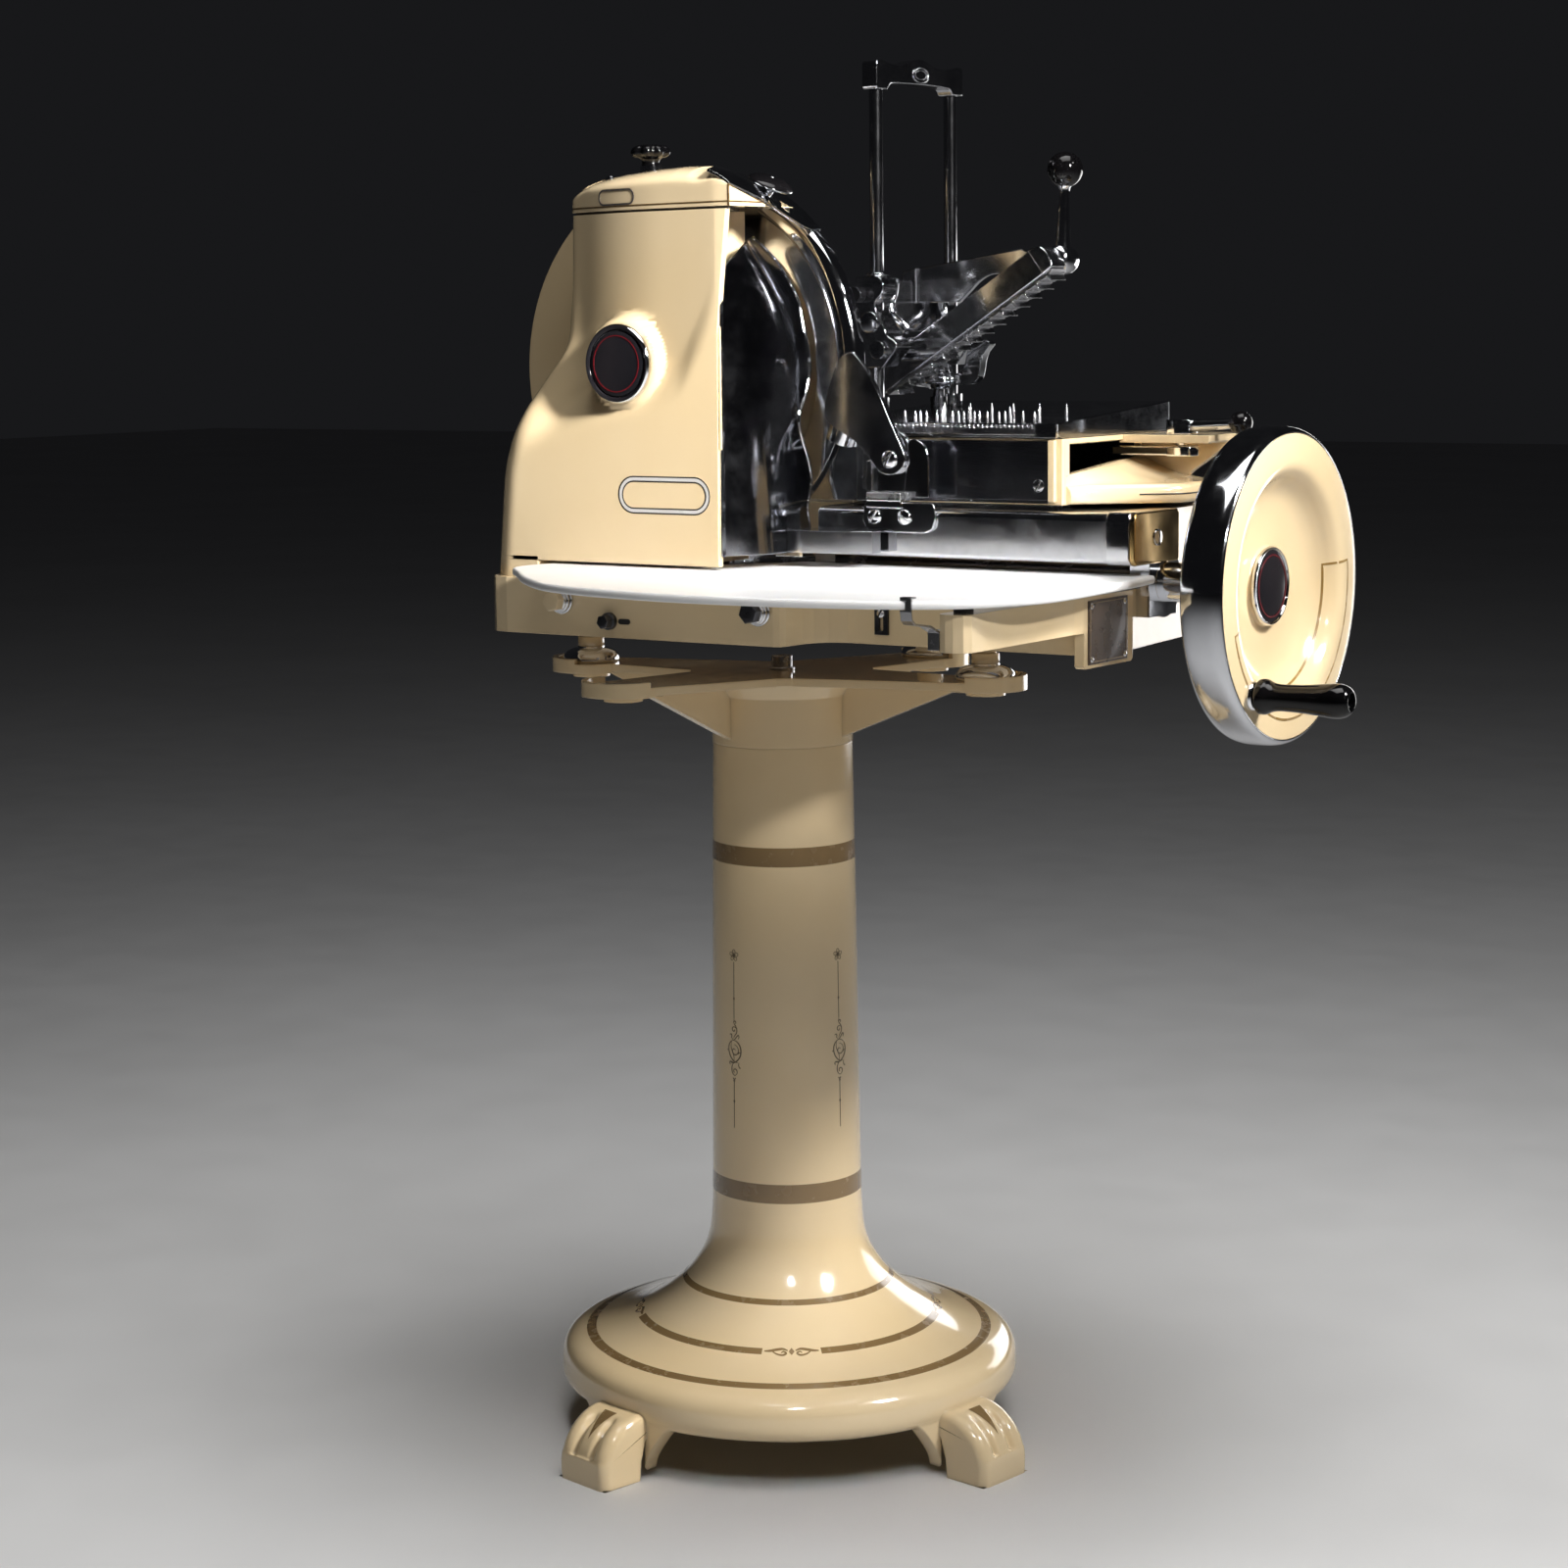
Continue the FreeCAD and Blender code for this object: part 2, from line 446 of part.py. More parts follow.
# sharpening head: carrier hung from the cap, two stones on short spindles
carrier = box(-107, -51, -124, -96, 1248, 1262).cut(zcyl(6 + FIT, 1240, 1270, KNX, KNY)).fuse(
    box(-107, -97, -120, -100, 1262, 1320)).fuse(box(-61, -51, -120, -100, 1262, 1320))
carrier = carrier.cut(cap).cut(box(-200, 100, -200, 0, 1305.0, 1400)).fuse(box(-51, -24, -118, -106, 1250, 1260))
carrier = sorted(carrier.Solids, key=lambda s: -s.Volume)[0]
carrier = carrier.cut(ycyl(4 + FIT, -130, -90, -34, 1255))
save("sharpener_carrier", carrier)
save("grinding_stone", ycyl(15, -100, -90, -34, 1255).fuse(ycyl(4, -122, -90, -34, 1255)))

# cream drum behind the housing that covers the left of the knife
def sector(r, y0, y1, a0, a1, n=36):
    pts = [(KX, KZ)]
    for i in range(n + 1):
        a = math.radians(a0 + (a1 - a0) * i / float(n))
        pts.append((KX + r * math.cos(a), KZ + r * math.sin(a)))
    return prism_y(pts, y0, y1)


drum = ycyl(COVER_R, -65.8, -60, KX, KZ).cut(ycyl(42, -70, -50, KX, KZ))
wallr = ycyl(COVER_R, -60.5, -36, KX, KZ).cut(ycyl(COVER_R - 6, -70, -30, KX, KZ))
drum = drum.fuse(wallr).common(sector(300, -80, -20, 92, 268))
drum = drum.cut(cap).cut(box(-300, 60, -70, -30, 800, 926.5))
drum = sorted(drum.Solids, key=lambda s: -s.Volume)[0]
save("knife_cover", drum)

# ================================================================ knife, hub, drive
blade = yrev([(20, KNIFE_Y0), (150, KNIFE_Y0), (KNIFE_R, KNIFE_Y1 - 0.4), (KNIFE_R, KNIFE_Y1), (150, KNIFE_Y1 - 0.8),
              (20, KNIFE_Y1 - 0.8)], KX, KZ)
save("knife_blade", blade)
hub = yrev([(15, -56), (30, -56), (38, -52), (38, KNIFE_Y0), (19.9, KNIFE_Y0), (19.9, -42.8), (15, -42.8)], KX, KZ)
save("knife_hub", hub)
kshaft = ycyl(15, -166, -42.8, KX, KZ).fuse(ycyl(21, -42.8, -38, KX, KZ))
save("knife_shaft", kshaft)


def sprocket(x, z, y0, y1, rb, hubr):
    s = ycyl(SPROCKET_R, y0, y1, x, z)
    n = 14
    for i in range(n):
        a = 2 * math.pi * i / n
        s = s.cut(ycyl(3.6, y0 - 1, y1 + 1, x + SPROCKET_R * math.cos(a), z + SPROCKET_R * math.sin(a)))
    s = s.fuse(ycyl(hubr, y0 - 4, y1 + 4, x, z)).cut(ycyl(rb, y0 - 9, y1 + 9, x, z))
    return s


save("knife_sprocket", sprocket(KX, KZ, CHAIN_Y - 3, CHAIN_Y + 3, 15, 22))
save("drive_sprocket", sprocket(KX, SHAFT_Z, CHAIN_Y - 3, CHAIN_Y + 3, CROSS_R, 19))


def stadium(r, y0, y1):
    return ycyl(r, y0, y1, KX, KZ).fuse(ycyl(r, y0, y1, KX, SHAFT_Z)).fuse(box(KX - r, KX + r, y0, y1, SHAFT_Z, KZ))


chain = stadium(SPROCKET_R + 5, CHAIN_Y - 2.5, CHAIN_Y + 2.5).cut(stadium(SPROCKET_R + 0.4, CHAIN_Y - 5, CHAIN_Y + 5))
save("drive_chain", chain)

# cross shaft with its bevel gear, two bearing blocks under the deck
save("cross_shaft", ycyl(CROSS_R, -124, 58, KX, SHAFT_Z))
# the front block grips the edges of the deck's channel, the rear one stands on the base's flange
b0 = box(KX - 22, KX + 22, -120, -100, 870, 930).cut(ycyl(CROSS_R + FIT, -200, 100, KX, SHAFT_Z)).cut(base)
b0 = sorted(b0.Solids, key=lambda s: -s.Volume)
b1 = box(KX - 22, KX + 22, 36, 54, BASE_Z0 + 7, 936).cut(ycyl(CROSS_R + FIT, -200, 100, KX, SHAFT_Z)).cut(base)
b1 = sorted(b1.Solids, key=lambda s: -s.Volume)
save("cross_bearings", [b0[0], b1[0]])


def bevel(axis, n=20):
    # 45 degree bevel gear with its apex at the crossing of the shafts, teeth as flutes
    prof = [(0, -33), (32.2, -33), (33.4, -31.5), (23.4, -21.5), (0, -21.5)]
    if axis == 'y':
        g = revolve([(r, h) for r, h in prof], V(KX, 0, SHAFT_Z), V(0, 1, 0), V(1, 0, 0))
    else:
        g = revolve([(r, h) for r, h in prof], V(KX, 0, SHAFT_Z), V(-1, 0, 0), V(0, 1, 0))
    return g


gy = bevel('y')
gx = bevel('x')
# set both gears back along their shafts for running clearance
gy.translate(V(0, -2.6, 0))
gx.translate(V(2.6, 0, 0))


def flutes(g, axis, n):
    for i in range(n):
        a = 2 * math.pi * i / n
        if axis == 'y':
            c = Part.makeCylinder(1.7, 40, V(KX + 38 * math.cos(a), -39.5, SHAFT_Z + 38 * math.sin(a)),
                                  V(-math.cos(a), 1, -math.sin(a)))
        else:
            c = Part.makeCylinder(1.7, 40, V(KX + 39.5, 38 * math.cos(a), SHAFT_Z + 38 * math.sin(a)),
                                  V(-1, -math.cos(a), -math.sin(a)))
        g = g.cut(c)
    return g


gy = flutes(gy, 'y', 20).cut(ycyl(CROSS_R, -60, 0, KX, SHAFT_Z))
gx = flutes(gx, 'x', 20).cut(xcyl(SHAFT_R, -60, 0, 0, SHAFT_Z))
save("cross_bevel_gear", gy)
save("shaft_bevel_gear", gx)

# crank disc for the carriage drive, at the rear end of the cross shaft
disc = ycyl(46, 58, 66, KX, SHAFT_Z).fuse(ycyl(6, 66, 84, KX + 34, SHAFT_Z))
save("crank_disc", disc)

# ================================================================ flywheel
save("flywheel_shaft", xcyl(SHAFT_R, KX + 2.6 + 21.5, 551, 0, SHAFT_Z))
rim = xrev([(124, 531), (132, FLY_X0), (142, FLY_X0 + 1), (148, 535), (FLY_R, 545), (FLY_R, 560), (148.5, 571),
            (146, FLY_X1 - 2), (143.8, FLY_X1 - 1), (143.8, 540), (124, 540)], 0, SHAFT_Z)
save("flywheel_rim", rim)
web = xrev([(SHAFT_R, 530), (34, 530), (37, 537), (60, 539), (123.8, 540.2), (143.7, 540.2), (143.7, FLY_X1), (126, FLY_X1),
            (120, 577), (112, 568), (98, 556), (80, 549.5), (60, 547), (37, 547), (34, 551), (SHAFT_R, 551)], 0, SHAFT_Z)
ca, cb = -CRANK_R * math.cos(math.radians(49)), -CRANK_R * math.sin(math.radians(49))
CY, CZ = ca, SHAFT_Z + cb
web = web.cut(xcyl(6, 500, 600, CY, CZ)).fuse(xcyl(14, 541, 574, CY, CZ)).cut(xcyl(6, 500, 600, CY, CZ))
web = web.cut(xcyl(13.1, 574, 590, CY, CZ))
save("flywheel_web", web)
save("flywheel_badge", xrev([(0, 551), (33, 551), (36, 553), (34, 556), (0, 557.5)], 0, SHAFT_Z))
pin = xcyl(6, 546, 665, CY, CZ).fuse(xcyl(13, 574, 578, CY, CZ)).fuse(xcyl(8, 664.3, 668, CY, CZ))
save("crank_pin", pin)
grip = xrev([(6 + FIT + 0.05, 578.3), (16, 578.3), (17, 583), (16.5, 590), (12.8, 596), (12.2, 605), (12.6, 622), (14, 640),
             (15.8, 652), (16.2, 660), (15, 667), (12.0, 672.0), (8.4, 674.0), (8.4, 664.0), (6 + FIT + 0.05, 664.0)], CY, CZ)
save("crank_grip", grip)

# ================================================================ guard ring and bracket
ring = yrev([(178, -49), (180, -52), (191, -53.5), (201, -49), (GUARD_RO, -42), (GUARD_RO, -38), (196, -38), (196, -46), (188, -49)], KX, KZ)
lipr = ycyl(GUARD_RO, -46, -38, KX, KZ).cut(ycyl(196, -70, -30, KX, KZ))
ring = ring.fuse(lipr).common(sector(320, -80, -20, -22, 62))
lug = prism_y([(96, 1072), (104, 1057), (133, 1046), (150, 1030), (158, 1019), (170, 1014), (184, 1019), (189, 1031),
               (170, 1064), (153, 1097), (128, 1108)], -57, -49.5).cut(ycyl(178, -70, -40, KX, KZ))
ring = ring.fuse(lug).cut(ycyl(5.0, -70, -40, 170, 1031))
save("guard_ring", ring)
hood = prism_y([(-30, 1315), (-8, 1314.5), (6, 1309), (31, 1297), (54, 1286), (68, 1277), (76, 1266), (72, 1263), (64, 1271),
                (52, 1280), (29, 1292), (4, 1304), (-8, 1309), (-30, 1311)], -111, -36).cut(cap).cut(ring).cut(ycyl(GUARD_RO + 0.3, -80, -30, KX, KZ))
hood = hood.cut(box(40, 200, -61, 0, 1200, 1400).common(ycyl(GUARD_RO + 0.3, -80, -30, KX, KZ)))
hood = sorted(hood.Solids, key=lambda s: -s.Volume)[0]
save("guard_hood", hood)
# tilted lens shaped knob on the hood
hk = zrev([(0, 0), (4.9, 0), (4.9, 2), (18, 5), (22, 8), (21, 10.5), (13, 13), (0, 14)])
hk.rotate(V(0, 0, 0), V(0, 1, 0), 25.56)
hk.translate(V(42, -78, 1292.0))
save("hood_knob", hk)

# bracket between ring and rail housing
brk = box(151, 191, -66, -60.2, 994, 1050).fuse(box(151, 191, -72, -60.2, 987, 995)).fuse(box(146, 228, -69, BAR_Y0 - 0.01, 956, 986)).fuse(
    box(151, 191, -72, -65.01, 980, 990))
brk = brk.cut(ycyl(5.0, -80, -50, 170, 1031))
brk = fillet(brk, 6, lambda e: along_y(e) and e.BoundBox.ZMax > 1045)
save("guard_bracket", brk)
save("guard_screw", slotted_y(8.5, -71, -66, 170, 1031, 35).fuse(ycyl(4.9, -66, -50, 170, 1031)))
save("bracket_screws", [slotted_y(6, -72.5, -69, x, 972, a) for x, a in ((159, 55), (194, -30))])

# polished deflector: upright sheet that bows from the housing's corner back to the knife
levels = [(935, 68, 92, 0), (959, 69, 90, 0), (978, 66, 87, 0), (1006, 72, 84, 0), (1023, 69, 81, 0), (1056, 58, 76, 0),
          (1070, 56, 74, 0), (1093, 67, 71, 0), (1123, 71, 68, 0), (1152, 66, 64, 0), (1181, 60, 61, 0), (1210, 43, 57, 0),
          (1222, 34, 56, 0.10), (1230, 26, 55, 0.24), (1240, 14, 52, 0.42), (1247, 2, 48, 0.62)]
wires = []
for z, xs_, cx_, u0 in levels:
    ao, co, bo = (45.5, -166.5), (cx_, -126.0), (xs_, -50.5)
    outp, inp = [], []
    for k in range(9):
        u = u0 + (1 - u0) * k / 8.0
        x = (1 - u) ** 2 * ao[0] + 2 * u * (1 - u) * co[0] + u * u * bo[0]
        y = (1 - u) ** 2 * ao[1] + 2 * u * (1 - u) * co[1] + u * u * bo[1]
        tx = 2 * (1 - u) * (co[0] - ao[0]) + 2 * u * (bo[0] - co[0])
        ty = 2 * (1 - u) * (co[1] - ao[1]) + 2 * u * (bo[1] - co[1])
        ln = math.hypot(tx, ty)
        outp.append(V(x, y, z))
        inp.append(V(x - 2.6 * ty / ln, y + 2.6 * tx / ln, z))
    loop = outp + inp[::-1]
    wires.append(Part.makePolygon(loop + [loop[0]]))
defl = Part.makeLoft(wires, True, True)
defl = defl.cut(hous)
defl = sorted(defl.Solids, key=lambda s: -s.Volume)[0]
save("slice_deflector", defl)
dfoot = prism_z([(78, -104), (120, -104), (150, -98), (168, -88), (168, -72.5), (78, -66)], 936, 958)
dfoot = dfoot.fuse(box(100, 140, -74, -65.01, 940, 956)).fuse(box(60, 92, -98, -78, 931, 934.99)).fuse(box(79, 92, -98, -78, 931, 940)).cut(brk)
dfoot = sorted(dfoot.Solids, key=lambda s: -s.Volume)[0]
save("deflector_foot", dfoot)
save("deflector_edge_rail", box(44.6, 47.6, -170, -166.6, 935, 1190).cut(hous).cut(defl))

# gauge plate right of the knife, edge hollowed round it
gp = prism_y([(60, 985), (150, 985), (150, 1058), (96, 1058), (60, 1058)], -37.2, -33.4).cut(ycyl(KNIFE_R + 2.5, -50, -20, KX, KZ))
gp = sorted(gp.Solids, key=lambda s: -s.Volume)[0]
gp = gp.fuse(box(128, 150, -52.8, -37, 986, 1050)).fuse(box(140, 150, -60.1, -50, 998, 1040)).cut(brk).cut(ring)
gp = gp.fuse(box(146, 152, -62, -50, 996, 1026)).cut(brk).cut(ring)
gp = sorted(gp.Solids, key=lambda s: -s.Volume)[0]
save("gauge_plate", gp)

# ================================================================ rail housing
barp = [(BAR_Y0, BAR_Z0 + 4), (BAR_Y0, BAR_Z1 - 8), (BAR_Y0 + 3, BAR_Z1 - 3), (BAR_Y0 + 10, BAR_Z1), (BAR_Y1, BAR_Z1),
        (BAR_Y1, BAR_Z0), (BAR_Y0 + 4, BAR_Z0)]
bar = prism_x(barp, BAR_X0, BAR_X1)
bari = [(BAR_Y0 + 5, BAR_Z0 + 6), (BAR_Y0 + 5, BAR_Z1 - 8), (BAR_Y0 + 11, BAR_Z1 - 5), (BAR_Y1 - 5, BAR_Z1 - 5),
        (BAR_Y1 - 5, BAR_Z0 + 6)]
bar = bar.cut(prism_x(bari, BAR_X0 + 6, BAR_X1 + 1))
save("rail_housing", bar)
capb = prism_x([(y, z) for y, z in barp], BAR_X1 + 0.01, BAR_X1 + 6)
save("rail_end_cap", capb.cut(xcyl(4.1, BAR_X1 - 1, BAR_X1 + 9, -20, 956)))
ecs = xcyl(4, BAR_X1 + 0.5, BAR_X1 + 6.2, -20, 956).fuse(xcyl(7.5, BAR_X1 + 6.0, BAR_X1 + 9, -20, 956))
sl = box(BAR_X1 + 7.8, BAR_X1 + 10, -20.8, -19.2, 940, 970)
save("end_cap_screw", ecs.cut(sl))
# rear rail on the raised body
save("rear_rail", box(-232, 424, 116, 134, BODY_Z, BODY_Z + 5))

# ================================================================ carriage
car = box(CAR_X0, CAR_X1, CAR_Y0, CAR_Y1, CAR_Z0, CAR_Z1)
car = car.cut(box(CAR_X0 + 6, CAR_X1 - 8, CAR_Y0 + 6, CAR_Y1 - 6, CAR_Z0 + 6, CAR_Z1 - 6))
car = car.cut(box(CAR_X1 - 20, CAR_X1 + 5, -10, 140, 1014, 1044))
# right-hand flange: cheek with a hollow curve between the upper ledge and the lower shoe
fl = prism_y([(CAR_X1 - 3, CAR_Z0), (428, CAR_Z0), (432, 990), (432, 1000), (424, 1008), (404, 1012), (385, 1020),
              (375, 1030), (CAR_X1 - 3, 1034)], 60, 150)
fl = fl.cut(prism_y([(CAR_X1 + 8, 996), (420, 996), (420, 1001), (402, 1005), (378, 1013), (366, 1024), (CAR_X1 + 8, 1026)], 50, 142))
up = prism_y([(CAR_X1 - 3, 1040), (440, 1040), (440, CAR_Z1), (CAR_X1 - 3, CAR_Z1)], 100, 190)
up = up.fuse(prism_y([(CAR_X1 - 3, CAR_Z1), (440, CAR_Z1), (436, 1036), (410, 1018), (392, 1006), (380, 990), (CAR_X1 - 3, 990)], 142, 150))
car = car.fuse(fl).fuse(up)
car = car.cut(zcyl(6.1, 1030, 1060, 404, 112))
# stroke clearance above the two rails
save("carriage", car)
pnl = box(CAR_X0, CAR_X1 - 6, CAR_Y0 - 4, CAR_Y0, 988, 1046)
save("carriage_front_panel", pnl)
save("panel_screw", slotted_y(6, CAR_Y0 - 5.6, CAR_Y0 - 4, 322, 1003, 40))
save("carriage_shoes", [box(100, 330, -18, 18, BAR_Z1 + 0.2, CAR_Z0), box(100, 330, 118, 132, BODY_Z + 5.2, CAR_Z0)])
# nut and feed screw of the table inside the carriage
save("feed_screw", [ycyl(7, -16, 180, 210, 1022).fuse(ycyl(11, 60, 80, 210, 1022))])

# thickness link, pin and hand lever at the right of the carriage
link = box(330, 384, 106, 118, 1027, 1037)
link = link.fuse(zcyl(11, 1027, 1037, 404, 112)).fuse(box(380, 404, 104, 120, 1027, 1037)).cut(zcyl(5 + FIT, 1000, 1060, 404, 112))
link = link.cut(car)
link = sorted(link.Solids, key=lambda s: -s.Volume)[0]
save("feed_link", link)
lev = zcyl(5, 1027.2, 1050, 404, 112).fuse(zcyl(11, 1048.3, 1063, 404, 112)).fuse(xcyl(5.5, 404, 462, 112, 1057))
lev = lev.fuse(Part.makeSphere(9.5, V(468, 112, 1058)))
lev = lev.cut(zcyl(20, 1037.1, 1048.1, 404, 112).cut(zcyl(5, 1030, 1050, 404, 112)))
lev = sorted(lev.Solids, key=lambda s: -s.Volume)[0]
save("feed_lever", lev)

# ================================================================ meat table
tz0, tf, tb = CAR_Z1 + 0.3, 1063.0, 1078.0
tab = prism_x([(TAB_Y0, tz0 + 5), (TAB_Y0, tf), (TAB_Y1, tb), (TAB_Y1, tz0), (TAB_Y0 + 6, tz0)], TAB_X0, TAB_X1)
tab = fillet(tab, 3, lambda e: along_x(e) and e.BoundBox.ZMin > 1062)
save("meat_table", tab)
pins = []


def ztab(y):
    return tf + (tb - tf) * (y - TAB_Y0) / (TAB_Y1 - TAB_Y0)


for x in (160, 172, 185, 200, 215, 228, 240, 255, 268, 280, 295, 308, 322):
    pins.append(zcyl(0.9, ztab(-12) - 1.5, ztab(-12) + 9, x, -12))
for x in (190, 220, 250, 280, 310):
    pins.append(zcyl(0.9, ztab(48) - 1.5, ztab(48) + 11, x, 48))
save("table_pins", [p.cut(tab) for p in pins])
pts = [(150, 1052)]
n = 36
for i in range(n):
    x = 150 + i * 5.0
    pts += [(x, 1058.5), (x + 2.5, 1061.5)]
pts += [(330, 1058.5), (330, 1052)]
strip = prism_y(pts, TAB_Y0 - 2.6, TAB_Y0)
save("serrated_strip", strip)
# clamp post with hand nut at the back of the table
NUT_X, NUT_Y = 106.0, 142.0
post = zcyl(6, ztab(NUT_Y) - 4, 1118, NUT_X, NUT_Y).cut(tab)
post = sorted(post.Solids, key=lambda s: -s.Volume)[0]
save("clamp_post", post.fuse(zcyl(9, 1070, 1084, NUT_X, NUT_Y).cut(tab)))
nut = zcyl(19, 1096, 1106, NUT_X, NUT_Y).fuse(zcyl(11, 1092, 1112, NUT_X, NUT_Y))
wing = [(100, 1097), (128, 1095), (150, 1096), (158, 1103), (160, 1115), (164, 1127), (171, 1136), (168, 1141), (156, 1142),
        (146, 1138), (143, 1128), (141, 1117), (134, 1109), (120, 1107), (100, 1107)]
nut = nut.fuse(prism_y(wing, NUT_Y - 6, NUT_Y + 6)).cut(zcyl(6 + FIT, 1000, 1200, NUT_X, NUT_Y))
save("hand_nut", sorted(nut.Solids, key=lambda s: -s.Volume)[0])

# press: two posts, top bar, sliding block, hinged arm with toothed strip, lever with ball
rods = []
for y in (ROD_YA, ROD_YB):
    rods.append(zcyl(ROD_R, ztab(y) - 6, 1410, ROD_X, y).cut(tab))
rods = [sorted(r.Solids, key=lambda s: -s.Volume)[0] for r in rods]
save("press_posts", rods)
foots = [zcyl(12, 1060, 1086, ROD_X, y).cut(tab).cut(zcyl(ROD_R, 1000, 1100, ROD_X, y)) for y in (ROD_YA, ROD_YB)]
save("post_collars", [sorted(f.Solids, key=lambda s: -s.Volume)[0] for f in foots])
tbar = box(ROD_X - 6, ROD_X + 6, ROD_YA, ROD_YB, 1398, 1420).fuse(zcyl(11, 1395, 1424, ROD_X, ROD_YA)).fuse(zcyl(11, 1395, 1424, ROD_X, ROD_YB))
tbar = tbar.fuse(prism_x([(68, 1419), (84, 1425), (103, 1428), (122, 1425), (138, 1419)], ROD_X - 6, ROD_X + 6))
for y in (ROD_YA, ROD_YB):
    tbar = tbar.cut(zcyl(ROD_R, 1390, 1410, ROD_X, y))
save("press_top_bar", tbar)
HGX, HGZ = 114.0, 1134.0     # hinge of the press arm
side = [(84, 1116), (84, 1208), (120, 1208), (126, 1180), (134, 1150), (134, 1116)]
sb = prism_y(side, 16, 44).fuse(prism_y(side, 161, 189)).fuse(box(84, 94, 43, 162, 1152, 1204))
sb = fillet(sb, 4, lambda e: along_y(e) and e.BoundBox.ZMin > 1207 and e.BoundBox.YMax < 45)
for y in (ROD_YA, ROD_YB):
    sb = sb.cut(zcyl(ROD_R + FIT, 1100, 1220, ROD_X, y))
sb = sb.cut(ycyl(6, 10, 200, HGX, HGZ)).cut(ycyl(4, 0, 26.0, 90, 1190)).cut(box(80, 96, 117, 127, 1168, 1210))
save("press_slide", sorted(sb.Solids, key=lambda s: -s.Volume)[0])
save("slide_lock_knob", ycyl(3.95, 9, 25.6, 90, 1190).fuse(ycyl(8, 3, 15, 90, 1190)))
save("arm_hinge_pin", ycyl(6, 12, 193, HGX, HGZ).fuse(ycyl(9, 9, 15.9, HGX, HGZ)).fuse(ycyl(9, 189.1, 194, HGX, HGZ)))

ARM_A = math.atan2(107.0, 169.0)
ARM_Y0, ARM_Y1 = 84.0, 118.0
ARM_X, ARM_Z = 75.0, 1085.0


def arm_pt(s, n):
    # s along the arm from its lower end, n above its lower edge
    return (ARM_X + s * math.cos(ARM_A) - n * math.sin(ARM_A), ARM_Z + s * math.sin(ARM_A) + n * math.cos(ARM_A))


beam = prism_y([arm_pt(1, 3.3), arm_pt(30, 29), arm_pt(37, 32), arm_pt(233, 32), arm_pt(238, 28), arm_pt(236, 3.3)], ARM_Y0, ARM_Y1)
beam = beam.fuse(ycyl(12, 44.3, 160.7, HGX, HGZ))
bx, bz = 261.0, 1222.0
beam = beam.fuse(ycyl(14, 112, 138, bx, bz)).cut(ycyl(6 + FIT, 0, 220, HGX, HGZ))
beam = beam.fuse(prism_y([(97, 1181), (97, 1217), (219, 1234), (236, 1228), (146, 1181)], 117.5, 123))
beam = sorted(beam.Solids, key=lambda s: -s.Volume)[0]
save("press_arm", beam)
seg = [arm_pt(4, 3.2)]
for i in range(14):
    s0 = 5 + i * 16.3
    seg += [arm_pt(s0, -1.0), arm_pt(s0 + 10, -1.0), arm_pt(s0 + 11.4, -7.0), arm_pt(s0 + 12.6, -0.5), arm_pt(s0 + 15.4, 0.6)]
seg += [arm_pt(235, 3.2)]
save("toothed_strip", sorted(prism_y(seg, ARM_Y0 + 2, ARM_Y1 - 2).cut(beam).Solids, key=lambda s: -s.Volume)[0])
ballc = V(266, 124, 1312)
rod = Part.makeCone(8.0, 5.2, 72, V(263, 124, 1228), V(0.04, 0, 1)).cut(beam).cut(Part.makeSphere(18, ballc))
save("press_lever", sorted(rod.Solids, key=lambda s: -s.Volume)[0])
save("press_ball", Part.makeSphere(18, ballc))

# ================================================================ nodes
# pieces that are made or fitted as one unit share a node, each piece a solid of its own
GROUPS = {
    "tie_rod": ["column_tie_rod", "head_tie_bolt"],
    "machine_feet": ["foot_domes", "foot_studs"],
    "shaft_blocks": ["shaft_pillow_block", "cross_bearings"],
    "front_bolts": ["front_bolts", "front_washers", "slot_bolt"],
    "slotted_screws": ["stop_plate_screw", "cap_screw", "guard_screw", "bracket_screws", "end_cap_screw"],
    "blank_plate": ["blank_plate", "plate_rivets"],
    "tray_clip": ["tray_clip", "tray_clip_block"],
    "housing_badge": ["housing_badge", "badge_rim"],
    "sharpener_carrier": ["sharpener_carrier", "sharpener_collar"],
    "knife_shaft": ["knife_shaft", "knife_hub", "knife_sprocket"],
    "cross_shaft": ["cross_shaft", "drive_sprocket", "cross_bevel_gear", "crank_disc"],
    "flywheel_shaft": ["flywheel_shaft", "shaft_bevel_gear"],
    "slice_deflector": ["slice_deflector", "deflector_edge_rail"],
    "carriage_front_panel": ["carriage_front_panel", "panel_screw"],
    "carriage": ["carriage", "carriage_shoes"],
    "press_posts": ["press_posts", "post_collars"],
    "table_spikes": ["serrated_strip", "table_pins"],
}
ORIGIN = V(OX, OY, 0)     # where the part's own origin lies: middle of its bounding box, on the floor
taken = [n for g in GROUPS.values() for n in g]
nodes = dict((n, g) for n, g in GROUPS.items())
for n in PIECES:
    if n not in taken:
        nodes[n] = [n]
lo, hi = [1e9] * 3, [-1e9] * 3
for n in sorted(nodes):
    solids = [x for p in nodes[n] for x in PIECES[p]]
    sh = solids[0].copy() if len(solids) == 1 else Part.makeCompound(solids)
    sh.translate(V(0, 0, 0) - ORIGIN)
    b = sh.BoundBox
    for i, (u, v) in enumerate(((b.XMin, b.XMax), (b.YMin, b.YMax), (b.ZMin, b.ZMax))):
        lo[i], hi[i] = min(lo[i], u), max(hi[i], v)
    print("%-22s n=%d V=%.0f  X %.1f..%.1f Y %.1f..%.1f Z %.1f..%.1f" % (
        n, len(solids), sum(x.Volume for x in solids), b.XMin + OX, b.XMax + OX, b.YMin + OY, b.YMax + OY, b.ZMin, b.ZMax))
    sh.exportStep("parts/" + n + ".step")
print("nodes", len(nodes), "box", [round(x, 2) for x in lo], [round(x, 2) for x in hi])
